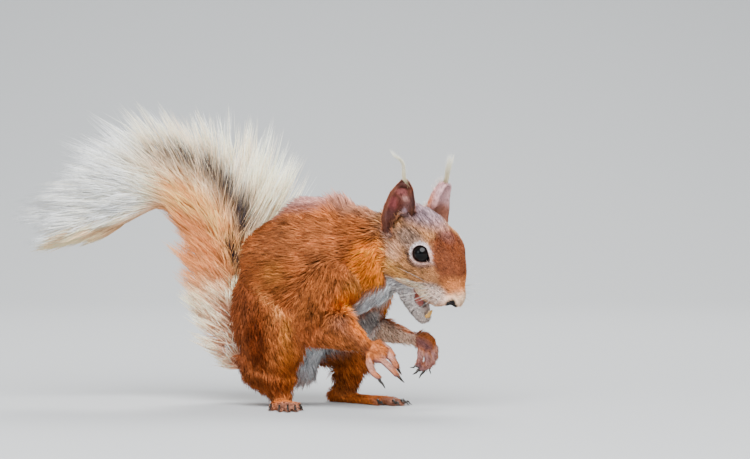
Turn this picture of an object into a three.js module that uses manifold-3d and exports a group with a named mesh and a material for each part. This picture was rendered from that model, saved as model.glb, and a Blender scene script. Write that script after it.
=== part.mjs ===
// A red squirrel as a life-size museum model. It crouches on both hind feet, turned a little to its
// right, with its forepaws held up before the chest, its mouth open and its tail arched up behind.
// Millimetres, +Z up. +X runs along the whole model, from the tail's tip to the nose.
// Every solid reaches out to the tips of the coat. Body points are (forward, left, up).
import * as THREE from "three";
import { mergeVertices } from "three/addons/utils/BufferGeometryUtils.js";
import Module from "manifold-3d";

const wasm = await Module();
wasm.setup();

// ---------------------------------------------------------------- driving dimensions
const GAP = 0.3; // left between two pieces that meet
const BODY_YAW = -30; // degrees from +X to the way that the body faces
const SOLE_SINK = 0.4; // how far the soft soles spread into flats on the floor

// Stations of a form: forward, left, up, half width, half depth.
const TRUNK = [
  [-14, 0, 18, 18, 11],
  [-16.5, 0, 27, 24.5, 20],
  [-15.4, 0, 43, 26.6, 26.6],
  [-8, 0, 60.5, 27.5, 34],
  [8, 0, 67.3, 25, 31.4],
  [24, 0, 68.4, 20, 24],
  [37, 0, 73.6, 16, 18.6],
  [45, 0, 75, 13.5, 14],
];
const NECK_FROM = 0.73; // share of the trunk's stations at which the neck starts
const THIGH = {
  right: [
    [-28, -14, 56, 9, 10.4],
    [-22.5, -18, 45, 12.5, 15.2],
    [-14, -21, 33, 13, 19],
    [-4, -23, 25, 10, 13],
  ],
  left: [
    [-27, 14, 55, 9, 11],
    [-18, 18, 43, 12.5, 16],
    [-6, 21, 32, 12.5, 17],
    [6, 23, 26, 9.5, 12],
  ],
};
const SHANK = {
  right: [
    [-14.5, -22, 25, 9.8, 19.5],
    [-14, -21.5, 16, 9, 17],
    [-9.2, -21, 9.6, 7, 10.2],
    [-6.8, -20.5, 5.6, 5.4, 6],
  ],
  left: [
    [6, 23, 26, 9, 11.5],
    [2.5, 22, 16, 7.5, 10],
    [1.5, 20.5, 7, 6, 7.6],
  ],
};
const UPPER_ARM = {
  right: [
    [20, -15, 62, 9, 12],
    [13, -19, 50, 8.5, 11],
    [6, -22, 38, 7, 8.5],
  ],
  left: [
    [21, 15, 62, 9, 12],
    [16, 19, 50, 8.5, 11],
    [11, 22, 38, 7, 8.5],
  ],
};
const FOREARM = {
  right: [
    [6, -22, 37, 6.5, 7.5],
    [18, -21, 33, 5.6, 6.6],
    [29, -18.5, 30.5, 4, 4.6],
    [33.5, -18, 29, 3.6, 3.6],
  ],
  left: [
    [11, 22, 37.5, 6.5, 7.5],
    [22, 21.5, 34.6, 5.6, 6.8],
    [34, 18, 32.4, 4.4, 5],
    [41, 16, 31.4, 4, 4],
  ],
};

// Each foot: its heel's place, how far it turns out, and the sole's distance and half sizes.
const FEET = {
  right: { heel: [-12, -15.7], turn: 55 },
  left: { heel: [-2.3, 20], turn: -10 },
};
const SOLE = [
  [-3, 4.2, 3.9],
  [10, 4.6, 2.5],
  [21, 6, 2.3],
  [28, 6, 2.3],
];
const TOES = [
  { start: 22, aside: 5, splay: 13, length: 8.5 },
  { start: 27, aside: 3, splay: 6, length: 10.5 },
  { start: 28, aside: 0.6, splay: 0, length: 11.5 },
  { start: 27, aside: -1.9, splay: -6, length: 10.5 },
  { start: 22, aside: -4.4, splay: -14, length: 8 },
];
const TOE_RADIUS = 1.75;
const CLAW_LENGTH = 5;

// The hands, from each wrist in the model's own axes. A finger is its knuckle, joint, tip and claw.
const HANDS = {
  right: {
    wrist: [20.5, -32, 29],
    palm: [
      [0, 0, 0, 3.8, 3.4],
      [4.5, 0.3, -1.6, 4.8, 3.1],
      [8, 0, -4, 4.6, 2.5],
    ],
    across: [0.55, 0.35, 0.75],
    fingers: [
      [[5.5, 3.4, 1.6], [10.2, 3.8, -0.6], [13.2, 3, -4.2], [15.6, 1.8, -8.2]],
      [[6, 1.4, -1], [12.2, 1.4, -4.9], [15, 0.8, -9.4], [17.4, -0.2, -13]],
      [[5, -1.2, -3.2], [11.2, -1.8, -8.6], [15, -2.2, -12.8], [18.6, -2.8, -16.4]],
      [[1.8, -3, -3], [3, -4.6, -10], [6.6, -5.4, -13.8], [9.8, -5.6, -18.8]],
    ],
  },
  left: {
    wrist: [43.5, -6.5, 31.4],
    palm: [
      [0, 0, 0, 4, 3.6],
      [3.8, -0.8, -0.6, 5, 3.8],
      [7, -1.2, -3, 4.8, 3],
    ],
    across: [0.2, 0.72, 0.66],
    fingers: [
      [[6.6, 3, -1.4], [10.8, 1.6, -6.8], [7.4, -1.4, -12], [8, -3, -16.6]],
      [[7, 0.4, -3], [9.8, -2.2, -9.4], [5.4, -4.2, -13.8], [2.4, -5.4, -18.4]],
      [[5.4, -2.2, -4.6], [6.6, -5, -10.4], [3.4, -6.4, -14], [-0.6, -7.2, -16.4]],
      [[3, -3.6, -4.4], [3.2, -6.8, -8.2], [2, -8, -12], [-1.8, -8.6, -13.2]],
    ],
  },
};
const FINGER_RADIUS = 1.5;

// The head in its own frame: nose along +x, skull centre at the origin.
const HEAD_AT = [53, 0, 73.4];
const HEAD_YAW = -11;
const HEAD_PITCH = 28;
const HEAD_ROLL = 7;
const SKULL = [
  [-18, 0, 4, 9.5, 11],
  [-11, 0, 3.6, 14, 15.6],
  [-2, 0, 2, 16.4, 17.6],
  [7, 0, 0.8, 15.2, 17.1],
  [15, 0, -1.2, 12.9, 14.4],
  [21, 0, -3.3, 9.4, 11.1],
  [25.5, 0, -6, 5.8, 7.2],
  [28.8, 0, -8, 4.5, 5],
];
const CHEEK = { at: [2, 12, -11], reach: 7, height: 3.4 };
const BROW = { at: [13, 9.4, 9.5], reach: 4.2, height: 1.5 };
const LIP = [
  [12, 7.4, -11.6, 2.4, 3.6],
  [17.5, 7.2, -11.8, 3.4, 4.8],
  [23.5, 5.7, -11, 4, 5],
  [28.6, 3.4, -10.2, 3, 3.2],
];
const EYE = { at: [10.8, 10.9, 5.8], radius: 4.5 };
const NOSTRIL = { at: [29.4, 2.8, -11.6], radii: [1.5, 1.1, 1.3] };
const MOUTH = { at: [14.5, 0, -15], radii: [9, 5.6, 4.8] };
const JAW = [
  [-2, 0, -16, 9.5, 6.5],
  [6, 0, -22, 7.8, 5.2],
  [12, 0, -26.4, 5.4, 4],
  [15.2, 0, -28.2, 4, 3.2],
];
const JAW_FLOOR = { at: [10.5, 0, -20.8], radii: [7.5, 4, 3] };
const TONGUE = [
  [2, 0, -17.8, 2.8, 1.6],
  [7, 0, -21, 3, 1.3],
  [11.5, 0, -24.2, 2.2, 0.9],
];
const UPPER_TOOTH = [
  [22.4, 0.75, -11, 0.9, 1],
  [22.2, 0.75, -14, 0.85, 0.9],
  [21, 0.75, -17, 0.7, 0.6],
];
const LOWER_TOOTH = [
  [14.6, 0.65, -28, 0.8, 0.8],
  [16.6, 0.65, -26, 0.75, 0.8],
  [17.4, 0.65, -22.6, 0.6, 0.5],
];

// An ear in its own frame: +z up the pinna, +x out of its cup.
const PINNA = [
  [0, 0, -3, 6.6, 5],
  [-0.4, 0, 5, 8, 4.8],
  [-0.8, 0.2, 13, 6.6, 3.7],
  [-0.4, 0.8, 18.6, 4.6, 2.7],
  [0, 1, 21.8, 2.6, 1.8],
];
const CUP = [
  [3.4, 0, 1, 4, 4],
  [2.6, 0, 7, 6, 4.6],
  [1.4, 0.3, 14, 5, 3.2],
  [1.2, 0.9, 19.2, 2.9, 2],
];
const EARS = {
  right: {
    at: [-6.5, -12, 9.2],
    pitch: -13,
    roll: 0,
    opens: -52,
    tuft: [
      [0.6, 1.4, 20.4, 2.2, 1.3],
      [0.4, 1.2, 25, 2, 1.1],
      [0, -1.2, 31, 1.3, 0.8],
      [0, -8.2, 37.6, 0.5, 0.5],
    ],
  },
  left: {
    at: [-5.8, 13, 6.4],
    pitch: -15,
    roll: -13,
    opens: 12,
    tuft: [
      [0, 0, 20.6, 2, 2],
      [0, -0.4, 25, 1.8, 2.2],
      [0, -1, 30, 1.2, 1.8],
      [0, -1.8, 36, 0.5, 0.6],
    ],
  },
};

// The brush of the tail, a flat plume in an upright plane along X: its two edges, from the root.
const TAIL_DEPTH = 21; // Y of the plume's plane
const INNER_EDGE = [
  [-44, 15],
  [-57.5, 30],
  [-64.5, 47],
  [-68.8, 70],
  [-69, 83],
  [-73.5, 90],
  [-81, 89.6],
  [-90, 86],
  [-101, 79],
  [-114, 73.5],
  [-127.5, 69.5],
];
const OUTER_EDGE = [
  [-31, 15],
  [-27, 26],
  [-24, 49],
  [-15, 78],
  [-4, 107],
  [-13, 123],
  [-33, 133.5],
  [-60.5, 140.5],
  [-98.5, 138],
  [-125.5, 115],
  [-137.5, 97],
];
const PLUME_HALF_THICKNESS = [5, 9, 11, 12.5, 13, 13, 12.5, 12, 11, 8, 4.5];
const TAIL_PARTS = { tail_base: [0, 0.3], tail_middle: [0.3, 0.64], tail_tip: [0.64, 1] };

// ---------------------------------------------------------------- finishes
const FINISHES = {
  coat_russet: { color: 0xa8542b, roughness: 0.85, metalness: 0 },
  coat_orange: { color: 0xc9742f, roughness: 0.85, metalness: 0 },
  coat_tail: { color: 0xd9c6a6, roughness: 0.9, metalness: 0 },
  coat_tuft: { color: 0xcfc99a, roughness: 0.8, metalness: 0 },
  ear_inside: { color: 0x9a5a4c, roughness: 0.7, metalness: 0 },
  paw_skin: { color: 0xc9a08c, roughness: 0.6, metalness: 0 },
  mouth_lining: { color: 0xb5655c, roughness: 0.4, metalness: 0 },
  eye_gloss: { color: 0x0a0908, roughness: 0.06, metalness: 0 },
  claw_horn: { color: 0x2c241f, roughness: 0.35, metalness: 0 },
  tooth_enamel: { color: 0xd8a24a, roughness: 0.3, metalness: 0 },
};

// ---------------------------------------------------------------- frames
/** A frame placed at a point and turned by degrees: roll about x first, then pitch, then yaw. */
function frame({ at = [0, 0, 0], yaw = 0, pitch = 0, roll = 0 }) {
  const turn = [roll, pitch, yaw].map(THREE.MathUtils.degToRad);
  return new THREE.Matrix4()
    .makeRotationFromEuler(new THREE.Euler(...turn, "ZYX"))
    .setPosition(...at);
}

const MODEL = new THREE.Matrix4();
const BODY = frame({ yaw: BODY_YAW });
const HEAD_TURN = { at: HEAD_AT, yaw: HEAD_YAW, pitch: HEAD_PITCH, roll: HEAD_ROLL };
const HEAD = BODY.clone().multiply(frame(HEAD_TURN));
const TAIL = frame({ at: [0, TAIL_DEPTH, 0] });

// ---------------------------------------------------------------- solids
/** The manifold solid of a closed geometry, placed by a frame. */
function solid(geometry, placed = MODEL) {
  const bare = geometry.clone();
  bare.deleteAttribute("normal");
  bare.deleteAttribute("uv");
  bare.applyMatrix4(placed);
  const merged = mergeVertices(bare, 1e-4);
  const vertProperties = new Float32Array(merged.attributes.position.array);
  const triVerts = new Uint32Array(merged.index.array);
  return new wasm.Manifold(new wasm.Mesh({ numProp: 3, vertProperties, triVerts }));
}

/** The largest body of a solid, without the slivers that a cut can leave. */
function largest(made) {
  return made.decompose().reduce((a, b) => (b.volume() > a.volume() ? b : a));
}

/** A flat-shaded geometry of a solid. */
function geometryOf(made) {
  const { vertProperties, triVerts } = made.getMesh();
  const shared = new THREE.BufferGeometry()
    .setAttribute("position", new THREE.BufferAttribute(vertProperties, 3))
    .setIndex(new THREE.BufferAttribute(triVerts, 1));
  const faceted = shared.toNonIndexed();
  faceted.computeVertexNormals();
  return faceted;
}

/** A closed skin over rings of equal length, with a fan over the first ring and over the last. */
function skinOver(rings) {
  const sides = rings[0].length;
  const middle = (ring) =>
    ring.reduce((sum, p) => sum.add(p), new THREE.Vector3()).divideScalar(sides);
  const points = [...rings.flat(), middle(rings[0]), middle(rings.at(-1))];
  const [first, last] = [points.length - 2, points.length - 1];
  const faces = [];
  for (let s = 0; s < sides; s++) {
    const next = (s + 1) % sides;
    const end = (rings.length - 1) * sides;
    faces.push(first, next, s, last, end + s, end + next);
    for (let r = 0; r + 1 < rings.length; r++) {
      const [a, b] = [r * sides + s, r * sides + next];
      faces.push(a, b, b + sides, a, b + sides, a + sides);
    }
  }
  const geometry = new THREE.BufferGeometry().setFromPoints(points);
  return geometry.setIndex(faces);
}

/** A smooth curve through values of up to three numbers, read by the share of its points. */
function through(rows) {
  const points = rows.map(([x, y = 0, z = 0]) => new THREE.Vector3(x, y, z));
  return new THREE.CatmullRomCurve3(points, false, "catmullrom", 0.5);
}

/** How far round swellings push a point out. Each swelling stands on both sides of the head. */
function swollen(point, swellings, grow) {
  let height = grow;
  for (const { at, reach, height: top } of swellings) {
    for (const side of [-1, 1]) {
      const away = point.distanceToSquared(new THREE.Vector3(at[0], side * at[1], at[2]));
      height += top * Math.exp(-away / (2 * reach * reach));
    }
  }
  return height;
}

/**
 * A form that tapers smoothly through stations, with an elliptical section and domed ends.
 * `across` is the way that half widths lie, and `grow` adds to the form all round.
 */
function form(stations, options = {}) {
  const { across = [0, 1, 0], rings = 5, sides = 12, grow = 0, from = 0, to = 1 } = options;
  const { domes = [true, true], swellings = [], placed = BODY } = options;
  const line = through(stations);
  const size = through(stations.map((s) => s.slice(3)));
  const side = new THREE.Vector3(...across);
  const ringAt = (t, dome) => {
    const along = line.getTangent(t);
    const wide = side.clone().addScaledVector(along, -side.dot(along)).normalize();
    const deep = new THREE.Vector3().crossVectors(along, wide);
    const half = size.getPoint(t);
    const bulge = Math.sin(dome) * Math.min(half.x, half.y) * 0.8;
    const centre = line.getPoint(t).addScaledVector(along, bulge);
    return Array.from({ length: sides }, (_, s) => {
      const angle = (2 * Math.PI * s) / sides;
      const out = new THREE.Vector3()
        .addScaledVector(wide, half.x * Math.cos(angle))
        .addScaledVector(deep, half.y * Math.sin(angle));
      const reach = swollen(centre.clone().add(out), swellings, grow) + out.length();
      return centre.clone().addScaledVector(out.normalize(), reach * Math.cos(dome));
    });
  };
  const steps = Array.from({ length: rings + 1 }, (_, i) => from + ((to - from) * i) / rings);
  const dome = sides > 12 ? [1.2, 0.7] : [0.9];
  const rows = [
    ...(domes[0] ? dome.map((a) => ringAt(from, -a)) : []),
    ...steps.map((t) => ringAt(t, 0)),
    ...(domes[1] ? dome.map((a) => ringAt(to, a)).reverse() : []),
  ];
  return solid(skinOver(rows), placed);
}

/** An ellipsoid with its centre on one side of the head: side is -1 for the right and 1 for the left. */
function blob({ at, radii, radius = 0 }, side, detail = 10, grow = 0) {
  const [a, b, c] = (radii ?? [radius, radius, radius]).map((r) => r + grow);
  const ball = new THREE.SphereGeometry(1, detail, Math.round(detail * 0.7));
  ball.applyMatrix4(new THREE.Matrix4().makeScale(a, b, c).setPosition(at[0], side * at[1], at[2]));
  return solid(ball, HEAD);
}

/** What is left of a solid above the floor. */
function aboveFloor(made) {
  return made.trimByPlane([0, 0, 1], 0);
}

// ---------------------------------------------------------------- body
const bodyForm = (options) => form(TRUNK, { sides: 16, ...options });
const trunkForm = (grow = 0) => bodyForm({ to: NECK_FROM, domes: [true, false], rings: 7, grow });
const thighForm = (side, grow = 0) => form(THIGH[side], { rings: 4, sides: 12, grow });
const shankForm = (side, grow = 0) => form(SHANK[side], { rings: 3, sides: 8, grow });
const upperArmForm = (side, grow = 0) => form(UPPER_ARM[side], { rings: 3, sides: 10, grow });
const forearmForm = (side, grow = 0) => form(FOREARM[side], { rings: 4, sides: 8, grow });

function trunk() {
  let made = trunkForm();
  for (const side of ["right", "left"]) {
    made = made.subtract(thighForm(side, GAP)).subtract(shankForm(side, GAP));
    made = made.subtract(upperArmForm(side, GAP));
  }
  return largest(made);
}

function neck() {
  const whole = bodyForm({ from: NECK_FROM + 0.002, domes: [false, true], rings: 3 });
  let made = whole.subtract(skullForm(GAP)).subtract(jawForm(GAP));
  for (const side of ["right", "left"]) {
    made = made.subtract(upperArmForm(side, GAP)).subtract(earForm(side, GAP));
  }
  return largest(made);
}

function thigh(side) {
  return thighForm(side);
}

function shank(side) {
  return largest(shankForm(side).subtract(thighForm(side, GAP)));
}

function upperArm(side) {
  return largest(upperArmForm(side).subtract(thighForm(side, GAP)));
}

function forearm(side) {
  const bent = forearmForm(side).subtract(upperArmForm(side, GAP));
  return largest(bent.subtract(thighForm(side, GAP)));
}

// ---------------------------------------------------------------- hind feet
/** A point of the foot: how far along it, how far aside and how high. */
function footPoint(side, along, aside, up) {
  const { heel, turn } = FEET[side];
  const [sin, cos] = [Math.sin, Math.cos].map((f) => f(THREE.MathUtils.degToRad(turn)));
  const outward = side === "right" ? -1 : 1;
  const forward = heel[0] + along * cos + aside * sin;
  return [forward, heel[1] + outward * (along * sin - aside * cos), up];
}

/** Points along a toe and its claw, at a distance from the toe's root. */
function toePoint(side, toe, distance, up) {
  const splay = THREE.MathUtils.degToRad(toe.splay);
  const along = toe.start + distance * Math.cos(splay);
  return footPoint(side, along, toe.aside + distance * Math.sin(splay), up);
}

function footAcross(side) {
  const [from, to] = [footPoint(side, 0, 0, 0), footPoint(side, 0, 1, 0)];
  return to.map((value, i) => value - from[i]);
}

function toeForm(side, toe, grow = 0) {
  const stations = [
    [...toePoint(side, toe, -3, 2.2), TOE_RADIUS, TOE_RADIUS],
    [...toePoint(side, toe, toe.length * 0.5, 2.5), TOE_RADIUS, TOE_RADIUS * 1.05],
    [...toePoint(side, toe, toe.length, 1.4), TOE_RADIUS * 0.8, TOE_RADIUS * 0.9],
  ];
  const domes = [false, true];
  return form(stations, { across: footAcross(side), rings: 2, sides: 5, domes, grow });
}

function foot(side) {
  const stations = SOLE.map(([along, wide, deep]) => [
    ...footPoint(side, along, 0, deep - SOLE_SINK),
    wide,
    deep,
  ]);
  let made = form(stations, { across: footAcross(side), rings: 3, sides: 8 });
  for (const toe of TOES) made = made.add(toeForm(side, toe));
  return largest(aboveFloor(made).subtract(shankForm(side, GAP)));
}

function toeClaw(side, toe) {
  const stations = [
    [...toePoint(side, toe, toe.length, 1.9), 0.8, 0.9],
    [...toePoint(side, toe, toe.length + CLAW_LENGTH * 0.55, 2), 0.6, 0.75],
    [...toePoint(side, toe, toe.length + CLAW_LENGTH, 0.5), 0.3, 0.35],
  ];
  const whole = form(stations, { across: footAcross(side), rings: 2, sides: 4, domes: [false, false] });
  return largest(aboveFloor(whole).subtract(toeForm(side, toe, GAP)));
}

// ---------------------------------------------------------------- hands
/** A finger's stations from its knuckle to its tip, in the frame of the wrist. */
function fingerForm(hand, finger, grow = 0) {
  const radii = [1.1, 1, 0.85].map((share) => share * FINGER_RADIUS);
  const stations = finger.slice(0, 3).map((p, i) => [...p, radii[i], radii[i]]);
  const placed = frame({ at: hand.wrist });
  const domes = [false, true];
  return form(stations, { across: hand.across, rings: 3, sides: 5, domes, grow, placed });
}

function handForm(side, grow = 0) {
  const hand = HANDS[side];
  const placed = frame({ at: hand.wrist });
  let made = form(hand.palm, { across: hand.across, rings: 2, sides: 8, grow, placed });
  for (const finger of hand.fingers) made = made.add(fingerForm(hand, finger, grow));
  return made;
}

function hand(side) {
  return largest(handForm(side).subtract(forearmForm(side, GAP)));
}

/** A claw goes on from the finger's tip, and hooks towards the last point. */
function fingerClaw(side, finger) {
  const hand = HANDS[side];
  const [tip, end] = finger.slice(2).map((p) => new THREE.Vector3(...p));
  const bow = new THREE.Vector3().subVectors(tip, new THREE.Vector3(...finger[1]));
  const middle = tip.clone().lerp(end, 0.5).addScaledVector(bow.normalize(), 0.5);
  const stations = [
    [...tip.toArray(), 0.75, 0.9],
    [...middle.toArray(), 0.55, 0.75],
    [...end.toArray(), 0.3, 0.32],
  ];
  const placed = frame({ at: hand.wrist });
  const whole = form(stations, { across: hand.across, rings: 2, sides: 4, domes: [false, false], placed });
  return largest(whole.subtract(handForm(side, GAP)));
}

// ---------------------------------------------------------------- head
const SWELLINGS = [CHEEK, BROW];
const onHead = { placed: HEAD };

function skullForm(grow = 0) {
  return form(SKULL, { ...onHead, rings: 9, sides: 16, grow, swellings: SWELLINGS });
}

/** Stations of the left side, mirrored for the right one. */
const onSide = (stations, side) => stations.map(([x, y, ...rest]) => [x, side * y, ...rest]);

/** The upper lip of one side, with the pad that the whiskers grow from. */
function lipForm(side) {
  return form(onSide(LIP, side), { ...onHead, rings: 3, sides: 8 });
}

function jawForm(grow = 0) {
  return form(JAW, { ...onHead, rings: 3, sides: 8, grow });
}

function head() {
  let made = skullForm().add(lipForm(-1)).add(lipForm(1)).subtract(blob(MOUTH, 0));
  for (const side of [-1, 1]) {
    made = made.subtract(blob(EYE, side, 10, GAP)).subtract(blob(NOSTRIL, side, 6));
  }
  made = made.subtract(teeth(UPPER_TOOTH, GAP)).subtract(jawForm(GAP));
  return largest(made);
}

function lowerJaw() {
  const hollow = jawForm().subtract(blob(JAW_FLOOR, 0, 8));
  return largest(hollow.subtract(teeth(LOWER_TOOTH, GAP)).subtract(tongueForm(GAP)));
}

const tongueForm = (grow = 0) => form(TONGUE, { ...onHead, rings: 3, sides: 8, grow });

/** A pair of incisors side by side. */
function teeth(stations, grow = 0) {
  const both = [stations, onSide(stations, -1)];
  const [a, b] = both.map((s) => form(s, { ...onHead, rings: 1, sides: 5, grow }));
  return a.add(b);
}

/** The ear leans by its pitch and roll, and its cup opens towards a bearing on the head. */
function earFrame(side) {
  const { opens, ...leaning } = EARS[side];
  return HEAD.clone().multiply(frame(leaning)).multiply(frame({ yaw: opens }));
}

function earForm(side, grow = 0) {
  const placed = earFrame(side);
  const outer = form(PINNA, { placed, rings: 5, sides: 10, grow });
  return outer.subtract(form(CUP, { placed, rings: 3, sides: 8, grow: -grow }));
}

function ear(side) {
  return largest(earForm(side).subtract(skullForm(GAP)));
}

function earTuft(side) {
  const tuft = form(EARS[side].tuft, { placed: earFrame(side), rings: 3, sides: 5 });
  return largest(tuft.subtract(earForm(side, GAP)));
}

// ---------------------------------------------------------------- tail
/** One length of the plume. Its section at a share of its edges is an ellipse between the two. */
function tailPart(from, to, domes) {
  const inner = through(INNER_EDGE);
  const outer = through(OUTER_EDGE);
  const thick = through(PLUME_HALF_THICKNESS.map((half) => [half]));
  const [rings, sides] = [6, 12];
  const ringAt = (t, shrink, push) => {
    const [a, b] = [inner.getPoint(t), outer.getPoint(t)];
    const middle = a.clone().add(b).divideScalar(2);
    const half = b.clone().sub(middle).multiplyScalar(shrink);
    const way = inner.getTangent(t).add(outer.getTangent(t)).normalize();
    middle.addScaledVector(way, push);
    return Array.from({ length: sides }, (_, s) => {
      const angle = (2 * Math.PI * s) / sides;
      const flat = middle.clone().addScaledVector(half, Math.cos(angle));
      const depth = thick.getPoint(t).x * shrink * Math.sin(angle);
      return new THREE.Vector3(flat.x, depth, flat.y);
    });
  };
  const steps = Array.from({ length: rings + 1 }, (_, i) => from + ((to - from) * i) / rings);
  const rows = [
    ...(domes[0] ? [ringAt(from, 0.55, -3)] : []),
    ...steps.map((t) => ringAt(t, 1, 0)),
    ...(domes[1] ? [ringAt(to, 0.75, 4), ringAt(to, 0.35, 6.5)] : []),
  ];
  return solid(skinOver(rows), TAIL);
}

function tail(name) {
  const [from, to] = TAIL_PARTS[name];
  const whole = tailPart(from ? from + 0.0035 : 0, to, [from === 0, to === 1]);
  return largest(whole.subtract(trunkForm(GAP)).subtract(thighForm("right", GAP)));
}

// ---------------------------------------------------------------- the model
const squirrel = new THREE.Group();

/** Adds one named piece with its finish. */
function piece(name, finish, made) {
  const mesh = new THREE.Mesh(geometryOf(made), new THREE.MeshStandardMaterial(FINISHES[finish]));
  mesh.name = name;
  squirrel.add(mesh);
}

piece("trunk", "coat_russet", trunk());
piece("neck", "coat_russet", neck());
piece("head", "coat_russet", head());
piece("lower_jaw", "coat_orange", lowerJaw());
piece("tongue", "mouth_lining", tongueForm());
piece("upper_incisors", "tooth_enamel", teeth(UPPER_TOOTH));
piece("lower_incisors", "tooth_enamel", teeth(LOWER_TOOTH));
for (const name of Object.keys(TAIL_PARTS)) piece(name, "coat_tail", tail(name));
for (const side of ["right", "left"]) {
  piece(`${side}_ear`, "ear_inside", ear(side));
  piece(`${side}_ear_tuft`, "coat_tuft", earTuft(side));
  piece(`${side}_eye`, "eye_gloss", blob(EYE, side === "right" ? -1 : 1));
  piece(`${side}_thigh`, "coat_russet", thigh(side));
  piece(`${side}_shank`, "coat_russet", shank(side));
  piece(`${side}_foot`, "coat_orange", foot(side));
  piece(`${side}_upper_arm`, "coat_russet", upperArm(side));
  piece(`${side}_forearm`, "coat_orange", forearm(side));
  piece(`${side}_hand`, "paw_skin", hand(side));
  TOES.forEach((toe, i) => piece(`${side}_toe_claw_${i + 1}`, "claw_horn", toeClaw(side, toe)));
  HANDS[side].fingers.forEach((finger, i) =>
    piece(`${side}_finger_claw_${i + 1}`, "claw_horn", fingerClaw(side, finger)),
  );
}

// The origin is the middle of the model's box, on the floor.
const box = new THREE.Box3().setFromObject(squirrel);
const middle = box.getCenter(new THREE.Vector3());
squirrel.position.set(-middle.x, -middle.y, -box.min.z);

export default squirrel;
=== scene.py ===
"""A life-size red squirrel: one skin over the flesh, and over the skin a coat of solid tufts.

Lengths are millimetres in the model's own frame, X from the tail to the nose and Z up, until
put_mesh turns them into metres. The body and the head have frames of their own: forward, left, up.
"""
import logging
import math
from collections.abc import Iterator
from dataclasses import dataclass, field, replace
from enum import Enum

import bpy
import numpy as np
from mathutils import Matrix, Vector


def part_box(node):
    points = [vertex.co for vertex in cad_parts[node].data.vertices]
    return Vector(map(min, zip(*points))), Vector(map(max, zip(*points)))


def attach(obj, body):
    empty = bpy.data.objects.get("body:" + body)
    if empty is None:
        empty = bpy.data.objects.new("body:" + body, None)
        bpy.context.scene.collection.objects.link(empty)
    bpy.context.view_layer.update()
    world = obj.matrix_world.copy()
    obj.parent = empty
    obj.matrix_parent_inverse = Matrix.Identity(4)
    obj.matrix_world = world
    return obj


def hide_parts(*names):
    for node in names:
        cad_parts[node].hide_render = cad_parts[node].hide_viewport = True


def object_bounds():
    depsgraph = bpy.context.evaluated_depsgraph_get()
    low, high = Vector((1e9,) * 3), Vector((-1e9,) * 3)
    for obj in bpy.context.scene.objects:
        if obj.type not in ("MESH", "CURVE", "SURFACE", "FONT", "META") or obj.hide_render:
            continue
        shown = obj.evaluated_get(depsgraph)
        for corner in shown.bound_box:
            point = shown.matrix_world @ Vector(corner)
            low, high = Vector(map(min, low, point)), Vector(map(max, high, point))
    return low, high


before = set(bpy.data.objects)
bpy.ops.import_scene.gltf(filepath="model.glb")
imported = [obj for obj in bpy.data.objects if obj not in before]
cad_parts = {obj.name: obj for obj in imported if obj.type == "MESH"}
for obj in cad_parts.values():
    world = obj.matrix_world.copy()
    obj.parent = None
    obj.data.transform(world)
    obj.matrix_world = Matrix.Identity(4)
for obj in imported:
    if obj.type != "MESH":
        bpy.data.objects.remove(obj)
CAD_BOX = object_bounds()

import openvdb

log = logging.getLogger("squirrel")
Array = np.ndarray
Window = tuple[slice, ...]

MM = 0.001
BAKE_MAP = "OFBake"
# Width of a tuft's patch on the map that finishes are baked to, and the seed of all random draws.
PATCH = 0.003
SEED = 20

# The lattice of the flesh, in millimetres: its spacing, how far distances are told, and its margin.
STEP = 0.5
BAND = 6.0
MARGIN = 8.0
SIDES = ("right", "left")
# The middle of the left eye, and of the mouth's cavity, in the head's frame.
EYE_AT = (10.8, 10.9, 5.8)
MOUTH_AT = (13.5, 0, -15.5)
UP = np.array([0, 0, 1.0])


class Where(Enum):
    """The frame that a marking is placed in."""

    BODY = "body"
    LEFT_BODY = "left side of the body"
    HEAD = "head"
    RIGHT_EAR = "right ear"
    LEFT_EAR = "left ear"


class Flow(Enum):
    """How the lie of the coat is found on a form."""

    BACKWARD = "from the shoulders to the tail"
    FROM_NOSE = "away from the nose"
    ALONG = "along the limb"


# ---- small sums on whole arrays
def turn(yaw: float, pitch: float = 0.0, roll: float = 0.0) -> Array:
    """Rotation matrix: roll about X, then pitch about Y, then yaw about Z.

    Args:
        yaw: Angle about Z in degrees.
        pitch: Angle about Y in degrees.
        roll: Angle about X in degrees.

    Returns:
        A 3 by 3 matrix.
    """
    a, b, c = (math.radians(angle) for angle in (yaw, pitch, roll))
    about_z = np.array([[math.cos(a), -math.sin(a), 0], [math.sin(a), math.cos(a), 0], [0, 0, 1]])
    about_y = np.array([[math.cos(b), 0, math.sin(b)], [0, 1, 0], [-math.sin(b), 0, math.cos(b)]])
    about_x = np.array([[1, 0, 0], [0, math.cos(c), -math.sin(c)], [0, math.sin(c), math.cos(c)]])
    return about_z @ about_y @ about_x


def step_between(low: float, high: float, values: Array) -> Array:
    """Smooth step: 0 below low, 1 above high, 3t squared less 2t cubed between."""
    share = np.clip((values - low) / (high - low), 0, 1)
    return share * share * (3 - 2 * share)


def unit(vectors: Array) -> Array:
    """Vectors scaled to length 1 along the last axis."""
    return vectors / np.maximum(np.linalg.norm(vectors, axis=-1, keepdims=True), 1e-9)


def dot(a: Array, b: Array) -> Array:
    """Inner product along the last axis, kept as a column."""
    return (a * b).sum(-1, keepdims=True)


def join(a: Array, b: Array, width: float) -> Array:
    """Smooth union of two distances: the lesser, less a quarter of width where both are equal."""
    near = np.maximum(width - np.abs(a - b), 0) / width
    return np.minimum(a, b) - near * near * width / 4


def carve(a: Array, b: Array, width: float) -> Array:
    """Smooth cut of solid b out of solid a, the union turned inside out."""
    return -join(-a, b, width)


def mirrored(places: Array) -> Array:
    """Places with those of the right side laid on the left."""
    return places * [1, 0, 1] + np.abs(places) * [0, 1, 0]


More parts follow.
